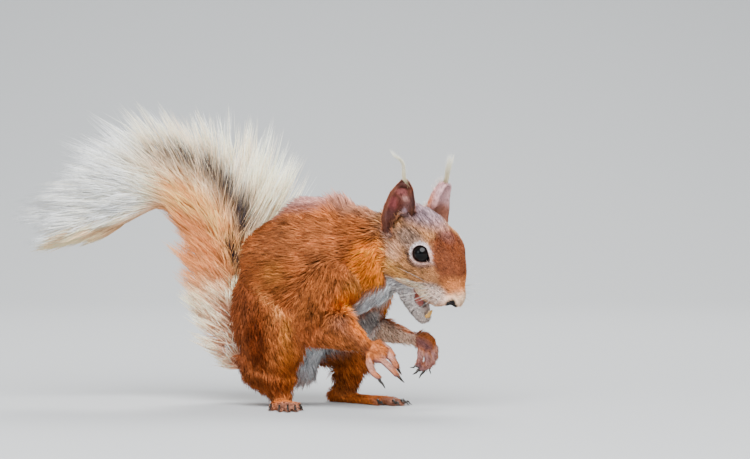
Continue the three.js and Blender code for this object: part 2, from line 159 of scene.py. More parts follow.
def linear(tint: str) -> Array:
    """A hex tint as linear red, green and blue, by the usual sRGB curve."""
    value = np.array([int(tint[i:i + 2], 16) for i in (1, 3, 5)]) / 255
    return np.where(value <= 0.04045, value / 12.92, ((value + 0.055) / 1.055) ** 2.4)


def between(first: str, last: str, share: Array) -> Array:
    """Linear colour that goes from one hex tint to another with a share from 0 to 1."""
    return linear(first) + share * (linear(last) - linear(first))


def trilinear(part: Array) -> Iterator[tuple[tuple[int, ...], Array]]:
    """The eight corners of a cell, each with its weight at places in the cell from 0 to 1."""
    for corner in np.ndindex(2, 2, 2):
        yield corner, np.prod([part[..., i] if c else 1 - part[..., i] for i, c in enumerate(corner)], 0)


def middle_of(name: str) -> Array:
    """Middle of a CAD node's box, in millimetres."""
    return np.array(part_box(name)).mean(0) / MM


def through(points: Array, shares: Array) -> Array:
    """Catmull-Rom curve through points.

    Each span is the usual cubic of its four nearest points, the end ones mirrored.

    Args:
        points: Points on the curve, one in each row.
        shares: Places along it, 0 at the first point and 1 at the last.

    Returns:
        One point for each share.
    """
    points = np.asarray(points, float)
    ends = np.vstack([2 * points[0] - points[1], points, 2 * points[-1] - points[-2]])
    place = np.clip(shares, 0, 1) * (len(points) - 1)
    span = np.minimum(place.astype(int), len(points) - 2)
    t = (place - span)[..., None]
    a, b, c, d = (ends[span + i] for i in range(4))
    return 0.5 * (2 * b + (c - a) * t + (2 * a - 5 * b + 4 * c - d) * t**2
                  + (3 * b - a - 3 * c + d) * t**3)


# ---- distances on a lattice
@dataclass
class Field:
    """Signed distances in millimetres on a lattice, negative inside."""

    start: Array
    values: Array
    step: float

    def at(self, points: Array) -> Array:
        """Trilinear reading: the eight values round each point, weighed by nearness.

        Args:
            points: Points in millimetres, on the last axis.

        Returns:
            One distance for each point.
        """
        shape = np.array(self.values.shape)
        place = np.clip(points / self.step - self.start, 0, shape - 1.001)
        cell = place.astype(np.int64)
        part = (place - cell).astype(np.float32)
        flat = (cell[..., 0] * shape[1] + cell[..., 1]) * shape[2] + cell[..., 2]
        values = self.values.ravel()
        total = np.zeros(flat.shape, np.float32)
        for corner, weight in trilinear(part):
            shift = (corner[0] * shape[1] + corner[1]) * shape[2] + corner[2]
            total += weight * values[flat + shift]
        return total

    def normals(self, points: Array, reach: float = 0.8) -> Array:
        """Unit gradient, from the differences over twice the reach along each axis."""
        slopes = [self.at(points + reach * axis) - self.at(points - reach * axis) for axis in np.eye(3)]
        return unit(np.stack(slopes, -1))

    def axes(self, where: Window) -> list[Array]:
        """Open coordinate arrays in millimetres of a window of the lattice."""
        ticks = [(self.start[i] + np.arange(where[i].start, where[i].stop)) * self.step for i in range(3)]
        return [t.astype(np.float32) for t in np.meshgrid(*ticks, indexing="ij", sparse=True)]

    def window(self, low: Array, high: Array) -> Window:
        """Slices of the lattice between two corners.

        Args:
            low: The corner with the least coordinates, in millimetres.
            high: The one with the greatest.

        Returns:
            The window, cut at the lattice's edge.
        """
        first = np.maximum(np.floor(np.asarray(low) / self.step).astype(int) - self.start, 0)
        last = np.minimum(np.ceil(np.asarray(high) / self.step).astype(int) - self.start + 1,
                          self.values.shape)
        return tuple(slice(int(a), int(b)) for a, b in zip(first, last))

    def window_of(self, part: "Field") -> Window:
        """Slices of the lattice that a smaller one of the same spacing covers."""
        return tuple(slice(int(a), int(a + n)) for a, n in zip(part.start - self.start, part.values.shape))

    def from_line(self, where: Window, a: Array, b: Array) -> tuple[Array, Array]:
        """Distances of a window's points from a straight line.

        Args:
            where: The window.
            a: The line's start, in millimetres.
            b: Its end.

        Returns:
            The distances and the share of the way from start to end, cut to 0 and 1.
        """
        axes, d = self.axes(where), b - a
        t = np.clip(sum((c - p) * q for c, p, q in zip(axes, a, d)) / (d @ d), 0, 1)
        return np.sqrt(sum((c - p - t * q) ** 2 for c, p, q in zip(axes, a, d))), t


def soften(values: Array, passes: int) -> Array:
    """Blurs a lattice in place: a value becomes half itself and a quarter of each neighbour.

    Args:
        values: The lattice.
        passes: How often that is done along each axis.

    Returns:
        The same lattice.
    """
    for _ in range(passes):
        for axis in range(3):
            moved = np.moveaxis(values, axis, 0)
            moved[1:-1] = moved[1:-1] * 0.5 + (moved[:-2] + moved[2:]) * 0.25
    return values


def corners(name: str) -> tuple[Array, Array]:
    """Reads a CAD node.

    Args:
        name: The node.

    Returns:
        Its points in millimetres, merged to a thousandth, and its triangles.
    """
    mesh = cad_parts[name].data
    points = np.empty(len(mesh.vertices) * 3, np.float32)
    mesh.vertices.foreach_get("co", points)
    mesh.calc_loop_triangles()
    triangles = np.empty(len(mesh.loop_triangles) * 3, np.int32)
    mesh.loop_triangles.foreach_get("vertices", triangles)
    keys = np.round(points.reshape(-1, 3).astype(float) / MM * 1000).astype(np.int64)
    merged, place = np.unique(keys, axis=0, return_inverse=True)
    return merged / 1000, place.reshape(-1)[triangles].reshape(-1, 3)


def level_set(points: Array, triangles: Array, start: Array, shape: Array, step: float,
              band: float) -> Field:
    """Distances round a closed surface.

    Args:
        points: Its points in millimetres.
        triangles: Its triangles.
        start: First place of the lattice, in steps.
        shape: Number of places along each axis.
        step: Spacing of the lattice.
        band: How far distances are told.

    Returns:
        The field.
    """
    grid = openvdb.FloatGrid.createLevelSetFromPolygons(
        points.astype(np.float32), triangles=triangles.astype(np.uint32),
        transform=openvdb.createLinearTransform(voxelSize=step), halfWidth=band / step)
    values = np.empty(tuple(int(n) for n in shape), np.float32)
    grid.copyToArray(values, ijk=tuple(int(i) for i in start))
    return Field(start, values, step)


def node_field(name: str) -> Field:
    """Distances round a CAD node, on a lattice that holds it and the band.

    Args:
        name: The node.

    Returns:
        The field.
    """
    points, triangles = corners(name)
    edge = int(BAND / STEP) + 1
    start = np.floor(points.min(0) / STEP).astype(int) - edge
    shape = np.ceil(points.max(0) / STEP).astype(int) + edge + 1 - start
    return level_set(points, triangles, start, shape, STEP, BAND)


def surface(shape: Field, adaptivity: float = 0.0) -> tuple[Array, Array]:
    """Closed surface where the distance is nought, largest body only.

    Args:
        shape: The distances.
        adaptivity: How far flat stretches may be joined into larger faces, 0 to 1.

    Returns:
        Points in millimetres and triangles.
    """
    limit = 4 * shape.step
    grid = openvdb.FloatGrid(background=limit)
    grid.copyFromArray(np.ascontiguousarray(np.clip(shape.values, -limit, limit)))
    points, triangles, quads = grid.convertToPolygons(isovalue=0.0, adaptivity=adaptivity)
    quads = quads.astype(np.int64)
    triangles = np.concatenate([triangles.astype(np.int64), quads[:, [0, 1, 2]], quads[:, [0, 2, 3]]])
    return largest((points + shape.start) * shape.step, triangles)


def largest(points: Array, triangles: Array) -> tuple[Array, Array]:
    """Keeps the body with the most corners: labels spread along its edges until none changes.

    Args:
        points: Points of all the bodies.
        triangles: Their triangles.

    Returns:
        The points and triangles of the largest.
    """
    label = np.arange(len(points))
    edges = np.concatenate([triangles[:, [0, 1]], triangles[:, [1, 2]]])
    while True:
        least = np.minimum(label[edges[:, 0]], label[edges[:, 1]])
        spread = label.copy()
        np.minimum.at(spread, edges[:, 0], least)
        np.minimum.at(spread, edges[:, 1], least)
        spread = spread[spread]
        if np.array_equal(spread, label):
            break
        label = spread
    names, counts = np.unique(label, return_counts=True)
    kept = label == names[counts.argmax()]
    renumbered = np.cumsum(kept) - 1
    return points[kept], renumbered[triangles[kept[triangles[:, 0]]]]


def volume(points: Array, triangles: Array) -> float:
    """Signed volume: the sum of each triangle's tetrahedron with the origin."""
    a, b, c = (points[triangles[:, i]] for i in range(3))
    return float(np.einsum("ij,ij->i", a, np.cross(b, c)).sum() / 6)


# ---- meshes
def placed(name: str, data: bpy.types.ID) -> bpy.types.Object:
    """A new object of the scene, made of the data.

    Args:
        name: Its name.
        data: A mesh, a light or a camera.

    Returns:
        The object.
    """
    made = bpy.data.objects.new(name, data)
    bpy.context.scene.collection.objects.link(made)
    return made


def put_mesh(name: str, points: Array, faces: Array, tint: Array,
             uv: Array | None = None) -> bpy.types.Object:
    """Makes a smooth mesh object with its faces turned outwards and nothing below the floor.

    Args:
        name: Name of the piece.
        points: Corners in millimetres.
        faces: Corner numbers, one face in each row.
        tint: Linear colour of each corner, for the attribute named coat.
        uv: Place of each corner on the map that the finish is baked to.

    Returns:
        The object, linked to the scene.
    """
    points = np.maximum(points, [-np.inf, -np.inf, 0])
    if volume(points, faces[:, :3]) < 0:
        faces = faces[:, ::-1]
    mesh = bpy.data.meshes.new(name)
    mesh.vertices.add(len(points))
    mesh.vertices.foreach_set("co", (points * MM).astype(np.float32).ravel())
    mesh.loops.add(faces.size)
    mesh.loops.foreach_set("vertex_index", faces.astype(np.int32).ravel())
    mesh.polygons.add(len(faces))
    mesh.polygons.foreach_set("loop_start", np.arange(0, faces.size, faces.shape[1], dtype=np.int32))
    mesh.polygons.foreach_set("use_smooth", np.ones(len(faces), bool))
    mesh.update(calc_edges=True)
    layer = mesh.color_attributes.new("coat", "FLOAT_COLOR", "POINT")
    rgba = np.ones((len(points), 4), np.float32)
    rgba[:, :3] = np.clip(tint, 0, 1)
    layer.data.foreach_set("color", rgba.ravel())
    if uv is not None:
        layer = mesh.uv_layers.new(name=BAKE_MAP)
        layer.data.foreach_set("uv", uv[faces.ravel()].astype(np.float32).ravel())
    return placed(name, mesh)


def put_tufts(name: str, paths: Array, widths: Array, up: Array, tint: Array, places: Array,
              flat: float = 0.7) -> bpy.types.Object:
    """Makes one piece of many tufts, which are closed three-sided spikes along paths.

    Round each point of a path but the last stand three corners, at the width times cosine and sine
    of 90, 210 and 330 degrees across the path, and the last point is the tip. On the map a tuft has
    a small patch round its root's place.

    Args:
        name: Name of the piece.
        paths: Points, by tuft and by place along it.
        widths: Half width, by tuft and by place along it but the last.
        up: Direction away from the skin, by tuft.
        tint: Linear colour, by tuft and by place along it.
        places: Place of each tuft on the map, from 0 to 1.
        flat: Thickness against width.

    Returns:
        The object.
    """
    rings = paths.shape[1] - 1
    along = unit(paths[:, 1:] - paths[:, :-1])
    side = unit(np.cross(along, up[:, None]))
    rise = np.cross(side, along)
    angle = np.radians([90, 210, 330])
    across = widths[..., None, None] * (np.cos(angle)[:, None] * side[:, :, None]
                                        + flat * np.sin(angle)[:, None] * rise[:, :, None])
    ring = (paths[:, :-1, None] + across).reshape(len(paths), rings * 3, 3)
    points = np.concatenate([ring, paths[:, -1:]], 1)
    faces = [[0, 2, 1]]
    for j in range(rings):
        for k in range(3):
            a, b = 3 * j + k, 3 * j + (k + 1) % 3
            faces += [[a, b, 3 * rings]] if j == rings - 1 else [[a, b, b + 3], [a, b + 3, a + 3]]
    faces = (np.array(faces) + (np.arange(len(paths)) * points.shape[1])[:, None, None]).reshape(-1, 3)
    tint = np.concatenate([np.repeat(tint[:, :-1], 3, 1), tint[:, -1:]], 1)
    shift = np.array([[k / 2 - 0.5, j / rings - 0.5] for j in range(rings) for k in range(3)] + [[0, 0.5]])
    uv = places[:, None] * (1 - 2 * PATCH) + PATCH + shift * PATCH
    return put_mesh(name, points.reshape(-1, 3), faces, tint.reshape(-1, 3), uv.reshape(-1, 2))


def ring_faces(rows: int, sides: int) -> Array:
    """Faces of a closed surface of rings, whose two last corners are the middles of its ends.

    Args:
        rows: Number of rings.
        sides: Corners of each.

    Returns:
        Triangles: two for each square between rings, and a fan at either end.
    """
    k = np.arange(sides)
    rows_at = np.arange(rows - 1)[:, None] * sides
    a, b = rows_at + k, rows_at + (k + 1) % sides
    last = (rows - 1) * sides
    return np.concatenate([
        np.stack([a, b, b + sides], -1).reshape(-1, 3),
        np.stack([a, b + sides, a + sides], -1).reshape(-1, 3),
        np.stack([(k + 1) % sides, k, np.full(sides, rows * sides)], -1),
        np.stack([last + k, last + (k + 1) % sides, np.full(sides, rows * sides + 1)], -1)])


def sweep(path: Array, wide: Array, deep: Array, up: Array, sides: int = 16) -> tuple[Array, Array]:
    """Closed skin round a path, with an ellipse of half axes wide and deep round each point.

    Args:
        path: Middle line.
        wide: Half width at each point, across up and the line.
        deep: Half depth at each point, towards up.
        up: One direction that the depth points to.
        sides: Corners of each ellipse.

    Returns:
        Points and triangles, the two ends closed with a fan.
    """
    along = unit(np.gradient(path, axis=0))
    side = unit(np.cross(along, up))
    rise = np.cross(side, along)
    angle = np.linspace(0, 2 * np.pi, sides, endpoint=False)[None, :, None]
    ring = (path[:, None] + wide[:, None, None] * np.cos(angle) * side[:, None]
            + deep[:, None, None] * np.sin(angle) * rise[:, None])
    return np.vstack([ring.reshape(-1, 3), path[:1], path[-1:]]), ring_faces(len(path), sides)


def combined(parts: list[tuple[Array, Array]]) -> tuple[Array, Array]:
    """Several closed surfaces as one list of points and one of faces."""
    starts = np.cumsum([0] + [len(points) for points, _ in parts[:-1]])
    return (np.vstack([points for points, _ in parts]),
            np.vstack([faces + start for (_, faces), start in zip(parts, starts)]))


def spine(name: str, rear: Array, shares: Array) -> tuple[Array, Array]:
    """Middle line and half widths of a slender CAD form.

    A station is the mean of the corners, weighed by a bell curve round its share of the length, and
    its half width the root mean square distance from it across the form's longest axis.

    Args:
        name: The CAD node.
        rear: A point that the line starts nearest to.
        shares: Stations, 0 at the rear end and 1 at the far one.

    Returns:
        Points and half widths.
    """
    points, _ = corners(name)
    middle = points.mean(0)
    axis = np.linalg.svd(points - middle)[2][0]
    axis = axis if (middle - rear) @ axis > 0 else -axis
    along = (points - middle) @ axis
    share = (along - along.min()) / np.ptp(along)
    bell = 0.12
    weight = np.exp(-(((share[None] - shares[:, None]) / bell) ** 2))
    weight /= weight.sum(1, keepdims=True)
    line = weight @ points
    line += axis * ((along.min() + shares * np.ptp(along)) - (line - middle) @ axis)[:, None]
    off = points[None] - line[:, None]
    off -= (off @ axis)[..., None] * axis
    return line, np.sqrt((weight * (off**2).sum(-1)).sum(1))


# ---- soft random fields
@dataclass
class Drift:
    """A smooth random field: random vectors on a repeating lattice, read trilinearly."""

    seed: int
    size: int = 24
    table: Array = field(init=False)

    def __post_init__(self) -> None:
        """Fills the table."""
        self.table = np.random.default_rng(self.seed).uniform(-1, 1, (self.size,) * 3 + (3,))

    def at(self, points: Array, scale: float) -> Array:
        """Reads the field.

        Args:
            points: Points in millimetres.
            scale: The distance over which the vectors change.

        Returns:
            One vector for each point, its parts between -1 and 1.
        """
        place = points / scale
        cell = np.floor(place).astype(int)
        part = place - cell
        part = part * part * (3 - 2 * part)
        total = np.zeros(points.shape)
        for corner, weight in trilinear(part):
            index = (cell + corner) % self.size
            total += weight[..., None] * self.table[index[..., 0], index[..., 1], index[..., 2]]
        return total

    def locks(self, points: Array, cell: float) -> tuple[Array, Array]:
        """Nearest of the scattered middles of locks, one in each cell, and a shade for it.

        Args:
            points: Points in millimetres.
            cell: Spacing of the locks.

        Returns:
            The middle's place and a number from 0 to 1, for each point.
        """
        base = np.floor(points / cell).astype(int)
        nearest = np.full(len(points), np.inf)
        middle = np.zeros_like(points)
        shade = np.zeros(len(points))
        for shift in np.ndindex(3, 3, 3):
            index = base + np.array(shift) - 1
            wrapped = index % self.size
            jitter = self.table[wrapped[:, 0], wrapped[:, 1], wrapped[:, 2]] * 0.5 + 0.5
            place = (index + jitter) * cell
            gap = ((place - points) ** 2).sum(1)
            closer = gap < nearest
            nearest[closer] = gap[closer]
            middle[closer] = place[closer]
            shade[closer] = (jitter[closer] * [7.1, 3.7, 5.3]).sum(1) % 1
        return middle, shade


# ---- posture
@dataclass
class Posture:
    """Where the body and the head stand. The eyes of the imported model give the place."""

    body_yaw: float = -30
    head_at: tuple[float, float, float] = (53, 0, 73.4)
    head_turn: tuple[float, float, float] = (-11, 28, 7)

    def __post_init__(self) -> None:
        """Works out both frames from the middle between the eyes."""
        self.body = turn(self.body_yaw)
        self.head = turn(*self.head_turn)
        middle = np.mean([np.array(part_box(f"{side}_eye")) for side in SIDES], (0, 1)) / MM
        forward = np.array([EYE_AT[0], 0, EYE_AT[2]])
        self.origin = middle - self.body @ (np.array(self.head_at) + self.head @ forward)

    def to_body(self, points: Array) -> Array:
        """Points in the body's frame: forward, left, up."""
        return (points - self.origin) @ self.body

    def to_head(self, points: Array) -> Array:
        """Points in the head's frame: forward, left, up."""
        return (self.to_body(points) - self.head_at) @ self.head

    def from_body(self, points: Array) -> Array:
        """Points of the body's frame in the model's."""
        return np.asarray(points) @ self.body.T + self.origin

    def from_head(self, points: Array) -> Array:
        """Points of the head's frame in the model's."""
        return self.from_body(np.asarray(points) @ self.head.T + self.head_at)

    def head_vector(self, vector: Array) -> Array:
        """A direction of the head's frame in the model's."""
        return self.body @ (self.head @ np.asarray(vector, float))


POSTURE = Posture()
CHAOS = Drift(SEED)


# ---- how the coat lies
@dataclass(frozen=True)
class Lay:
    """The coat over one form of flesh.

    Attributes:
        depth: From the skin to the tips, in millimetres.
        length: Of a tuft.
        width: Half width of a tuft at its root.
        flow: How its lie is found.
        smooth: Whether the form is part of the large, soft-edged body.
        run: The nodes that a limb's coat runs from and to.
    """

    depth: float
    length: float
    width: float
    flow: Flow = Flow.ALONG
    smooth: bool = False
    run: tuple[str, str] | None = None


# The forms of a limb: the coat's depth, a tuft's length and half width, whether the form is part of
# the soft-edged body, and the forms that its coat runs from and to.
LIMBS: dict[str, tuple] = {
    "thigh": (4, 8, 0.27, True, "thigh", "foot"),
    "shank": (2.2, 5, 0.21, True, "thigh", "foot"),
    "foot": (0.6, 2.6, 0.15, False, "shank", "foot"),
    "upper_arm": (3, 6.5, 0.24, True, "upper_arm", "forearm"),
    "forearm": (1.6, 4.6, 0.19, True, "upper_arm", "hand"),
    "hand": (-0.25, 1.7, 0.12, False, "forearm", "hand"),
    "ear": (-0.2, 1.8, 0.12, False, "ear", "ear_tuft"),
}
LAYS: dict[str, Lay] = {
    "trunk": Lay(4.5, 9.5, 0.3, Flow.BACKWARD, smooth=True),
    "neck": Lay(3.6, 7.5, 0.27, Flow.BACKWARD, smooth=True),
    "head": Lay(1.8, 3.6, 0.2, Flow.FROM_NOSE),
    "lower_jaw": Lay(0.9, 3.0, 0.14, Flow.FROM_NOSE),
    **{f"{side}_{form}": Lay(*sizes, Flow.ALONG, smooth, (f"{side}_{first}", f"{side}_{last}"))
       for side in SIDES for form, (*sizes, smooth, first, last) in LIMBS.items()},
}
LAYS["left_ear"] = replace(LAYS["left_ear"], depth=-0.5)
TAIL_NODES = ("tail_base", "tail_middle", "tail_tip")


def head_thinning(local: Array) -> Array:
    """Share of the coat's depth left on the head.

    It falls from 1.45 at the back to 0.25 at the nose, and is less again within 9 mm of the eye's
    middle and 12 mm of the mouth's.

    Args:
        local: Points in the head's frame.

    Returns:
        A share from 0.14 to 1.45.
    """
    x, y, z = local[..., 0], np.abs(local[..., 1]), local[..., 2]
    snout = 1.45 - 1.2 * step_between(-8, 24, x)
    eye = np.sqrt((x - EYE_AT[0]) ** 2 + (y - EYE_AT[1]) ** 2 + (z - EYE_AT[2]) ** 2)
    mouth = np.sqrt(((x - 13) / 1.6) ** 2 + y**2 + (z + 15) ** 2)
    ring = 0.25 + 0.75 * step_between(5, 9, eye)
    lips = 0.3 + 0.7 * step_between(6, 12, mouth)
    return np.maximum(snout * ring * lips, 0.14)


# ---- the tail's middle line
@dataclass
class TailLine:
    """The flesh of the tail: a tapering tube along one curve, up behind the rump and over."""

    points: tuple = ((-33, 14), (-37.5, 28), (-39.1, 48.8), (-42.8, 67.4), (-49.3, 82.3), (-58.1, 91.2),
                     (-69.8, 95.3), (-81.4, 93.5), (-93, 88.8), (-104.7, 85.1), (-113, 82.8))
    across: float = 21
    root_radius: float = 4.6
    tip_radius: float = 1.8
    raw: int = 600
    fine: int = 200

    def __post_init__(self) -> None:
        """Spaces the line evenly along its length."""
        flat = np.array(self.points, float)
        rows = np.column_stack([flat[:, 0], np.full(len(flat), self.across), flat[:, 1]]) + POSTURE.origin
        raw = through(rows, np.linspace(0, 1, self.raw))
        gone = np.concatenate([[0], np.cumsum(np.linalg.norm(np.diff(raw, axis=0), axis=1))])
        even = np.linspace(0, gone[-1], self.fine)
        self.line = np.column_stack([np.interp(even, gone, raw[:, i]) for i in range(3)])
        self.along = unit(np.gradient(self.line, axis=0))
        self.outward = np.cross([0, 1, 0], self.along)

    def read(self, table: Array, share: Array) -> Array:
        """Rows of a table, one for each place of the line, at shares of the length."""
        place = np.clip(share, 0, 1) * (self.fine - 1)
        return np.stack([np.interp(place, np.arange(self.fine), table[:, i]) for i in range(3)], -1)

    def radius(self, share: Array) -> Array:
        """Radius of the flesh at a share of the length."""
        return self.root_radius + (self.tip_radius - self.root_radius) * np.asarray(share)

    def nearest(self, points: Array) -> tuple[Array, Array]:
        """Finds the nearest place on the line, among every fourth.

        Args:
            points: Points in millimetres.

        Returns:
            Its share of the length, and how far each point is off it towards the bend's outside.
        """
        best = np.full(len(points), np.inf)
        pick = np.zeros(len(points), int)
        for i in range(0, self.fine, 4):
            gap = ((points - self.line[i]) ** 2).sum(1)
            closer = gap < best
            best[closer] = gap[closer]
            pick[closer] = i
        offset = ((points - self.line[pick]) * self.outward[pick]).sum(1)
        return pick / (self.fine - 1), offset

    def reach(self, points: Array, share: Array) -> Array:
        """Distance of points from the line at shares of its length."""
        return np.linalg.norm(points - self.read(self.line, share), axis=1)


TAIL = TailLine()


# ---- ears
class Ears:
    """Where the ears stand and point: their place on the head, and the way that each cup opens."""

    at = {"right": (-6.5, -12, 9.2), "left": (-5.8, 13, 6.4)}
    opens = {"right": (-52, -13, 0), "left": (12, -15, -13)}

    @classmethod
    def axes(cls, side: str) -> Array:
        """Columns: out of the cup, across it and up the ear, in the head's frame."""
        opens, pitch, roll = cls.opens[side]
        return turn(0, pitch, roll) @ turn(opens)

    @classmethod
    def opening(cls, side: str) -> Array:
        """Direction out of an ear's cup, in the model's frame."""
        return POSTURE.head_vector(cls.axes(side)[:, 0])

    @classmethod
    def upward(cls, side: str) -> Array:
        """Direction from an ear's root to its tip, in the model's frame."""
        return POSTURE.head_vector(cls.axes(side)[:, 2])

    @classmethod
    def local(cls, side: str, head_places: Array) -> Array:
        """Points of the head's frame in an ear's own: out of the cup, across it, up the ear."""
        return (head_places - cls.at[side]) @ cls.axes(side)


# ---- markings
@dataclass(frozen=True)
class Wash:
    """A soft-edged patch of colour: an ellipsoid in one of the frames.

    In the frames of the body and the head it is the same on both sides.
    """

    tint: str
    where: Where
    middle: tuple[float, float, float]
    reach: tuple[float, float, float]
    strength: float = 1.0
    soft: float = 0.4

    def weight(self, places: dict[Where, Array]) -> Array:
        """Works out how much of the tint counts.

        Args:
            places: The points in each frame.

        Returns:
            A share for each point: the strength inside, falling to 0 over the soft edge.
        """
        q = places[self.where]
        if self.where in (Where.BODY, Where.HEAD):
            q = mirrored(q)
        gap = np.linalg.norm((q - self.middle) / np.array(self.reach), axis=1)
        return self.strength * (1 - step_between(1 - self.soft, 1 + self.soft, gap))


def in_frame(where: Where, *rows: tuple) -> tuple[Wash, ...]:
    """Washes of one frame, from rows of a tint, a middle, a reach, a strength and a soft edge."""
    return tuple(Wash(row[0], where, *row[1:]) for row in rows)


@dataclass
class Paint:
    """Linear colours, one in each row, that tints are laid over one after the other.

    The skin's own places, outward directions and closeness to each form go with them.
    """

    colour: Array
    points: Array | None = None
    normals: Array | None = None
    near: dict[str, Array] | None = None

    def lay(self, tint: str, share: Array) -> None:
        """Mixes a hex tint in by a share from 0 to 1."""
        self.colour = self.colour + share[:, None] * (linear(tint) - self.colour)


@dataclass
class Markings:
    """The colours of the animal, with some painted shade and highlights, one source for the skin and for
    the coat.
    """

    base: str = "#b0622f"
    head_base: str = "#bd8455"
    russet_face: str = "#66280c"
    eye_ring: str = "#e2d3d5"
    # Painted shadow of the lower lid's fold, a dark line below the pale ring.
    under_eye: str = "#4e3a33"
    eye_blush: str = "#dcae9f"
    lid_edge: str = "#1e1412"
    bare_hand: str = "#c48d7a"
    hand_fur: str = "#b9662e"
    crease: str = "#4a2c28"
    # Mauve of the bare palms, also laid as painted shade wherever the hand faces down.
    palm: str = "#6d4f58"
    inner_limb: str = "#d9b59c"
    inner_arm: str = "#cbc6c2"
    toes: str = "#a4705a"
    foot: str = "#bb6426"
    ear_out: str = "#a85f3c"
    ear_in: str = "#3b1412"
    ear_lit: str = "#a06f68"
    mouth: str = "#a8504f"
    jaw: str = "#b9aea8"
    washes: tuple[Wash, ...] = in_frame(
        Where.BODY,
        # Pinkish top of the back: partly pale hair tips, partly a painted highlight where the light falls
        # from above.
        ("#cc9c98", (-4, 0, 102), (44, 27, 14), 0.8),
        ("#c47848", (2, 24, 78), (30, 14, 10), 0.5),
        ("#7a3c1e", (-30, 22, 38), (14, 17, 27), 0.9),
        # Dark band on the thigh: partly darker hair, partly painted shade in a crease.
        ("#6a2a0a", (-17, 32, 34), (6, 9, 18), 0.9),
        ("#8a4a20", (6, 26, 50), (9, 6, 12), 0.6),
        # Golden ridge along the front of the thigh: partly the coat's own tint, partly a painted highlight
        # on its lit edge.
        ("#e0904c", (-13.5, 27, 54), (4.5, 7, 4), 0.9),
        ("#ee9a55", (-9, 27, 49), (3.2, 7, 6), 0.95),
        ("#d4843a", (-4, 29, 41), (3.2, 7, 8), 0.85),
        ("#b96a28", (-2, 31, 28), (5, 7, 10), 0.7),
        # Painted shade: darkens the top of the hock, which faces up into the key light.
        ("#84401a", (-16, 28, 13), (15, 12, 4.5), 0.75),
        ("#ac5812", (2, 27, 18), (11, 12, 11), 0.8),
        ("#c98a3c", (-3, 27, 63), (9, 6, 8), 0.4),
        ("#dbe0e4", (8, 0, 30), (32, 14, 15), 1.0, 0.25),
        ("#e6ecf0", (37, 0, 50), (16, 9.5, 17), 1.0, 0.25),
        ("#ff7a06", (37, 17, 67), (7, 8, 11), 1.0),
        ("#dd8f42", (32, 18, 56), (9, 8, 10), 0.7),
        ("#ff8406", (26, 16, 50), (7, 9, 7.5), 1.0),
        ("#ff8406", (31.5, 20, 40.5), (5.5, 8, 4), 1.0),
        ("#a9592c", (8, 27, 36), (9, 6, 8), 0.7),
        ("#ff8008", (36, 20, 36.5), (5, 8, 3.5), 0.95),
    ) + in_frame(
        Where.LEFT_BODY,
        ("#c4beb8", (35, 12, 49), (13, 12, 14), 0.95, 0.25),
    ) + in_frame(
        Where.BODY,
        ("#94705c", (26, 0, 90), (14, 12, 7), 0.6),
    ) + in_frame(
        Where.HEAD,
        ("#6e4630", (-11, 13, 4), (4, 6, 7), 0.7),
        ("#2c1712", (-6.5, 15, 9.8), (4, 4, 3.4), 0.9),
        ("#6a4526", (-2.5, 10.5, 15), (2.6, 3, 4), 0.8),
        ("#a08890", (-1, 0, 20), (13, 13, 8), 0.95),
        ("#8f7668", (4, 14.5, 10), (9, 5, 6), 0.85),
        ("#dba583", (-2, 17, 0), (7, 5, 6.5), 0.85),
        ("#cb8f4c", (2, 15, -9), (9, 6, 5), 0.8),
        ("#f58824", (-10, 16, -8), (7, 8, 10), 0.8),
    )
    snout: tuple[Wash, ...] = in_frame(
        Where.HEAD,
        ("#c08a80", (14, 0, 17.5), (8, 5, 4), 0.6, 0.7),
        ("#cf7f45", (29, 4, -3.4), (5, 6, 4), 0.9, 0.6),
        ("#ffd9b6", (31.5, 0, -10.2), (4.4, 5.8, 4.4), 1.0, 0.6),
        ("#eed0bf", (21.5, 7, -9.8), (7, 5, 4.4), 1.0),
        ("#ffddba", (13, 9, -11.5), (8, 5, 3), 0.95),
        ("#c9bfb9", (4, 0, -26), (16, 9, 8), 0.9),
    )
    ears: tuple[Wash, ...] = in_frame(
        Where.RIGHT_EAR,
        ("#301310", (0, 1, 22), (7, 6, 2.6), 0.85),
        # Painted highlights: two pink patches high inside the near ear.
        ("#a8605e", (0, 0, 17.4), (7, 2.6, 2), 0.8),
        ("#c08a80", (0, 2.2, 14.4), (7, 1.5, 1.3), 0.8),
        ("#8a4346", (0, -3.2, 10.6), (8, 1.8, 4.4), 0.8),
        ("#4a170c", (0, -0.4, 11), (8, 1.6, 3.2), 0.8),
        ("#2b110d", (2, 6.6, 12), (8, 2.0, 10), 0.9),
        ("#4e2a15", (3, 6, 7), (8, 2.6, 4), 0.8),
        # Painted shadow in the ear's canal.
        ("#170709", (0, 0.2, 6.6), (8, 3.0, 1.7), 0.95),
        ("#b49ca6", (2, 2.4, 7.9), (7, 1.3, 1.2), 0.8),
        ("#6d484a", (0, -4.4, 6), (8, 1.8, 2.6), 0.7),
        ("#6e5350", (2, -0.4, 3.3), (8, 2.2, 1.5), 0.8),
        ("#1a0b09", (2, -1.2, 0), (8, 4, 2.2), 0.9),
        ("#3a1d12", (2, -3.8, 4.5), (8, 3.2, 5.5), 0.7),
        ("#b8917f", (4, -3.2, -3.6), (8, 2.2, 1.4), 0.85),
    ) + in_frame(
        Where.LEFT_EAR,
        ("#c79fa2", (1, 1, 18), (9, 9, 7.5), 0.85),
        # Painted shade in a fold of the far ear, a narrow dark streak.
        ("#553029", (0, -2.4, 13), (9, 1.3, 3.4), 0.85),
        ("#6c3d26", (2, 2, 3), (9, 9, 8), 0.95),
    )
    # Near black: the dark opening of the nose and a painted shadow under the nose below it.
    nostril: str = "#0b0607"
    dot: str = "#3b2a25"
    dots_at: tuple[float, float] = (20.6, -5.6)
    dot_spacing: tuple[float, float] = (2.1, 1.75)

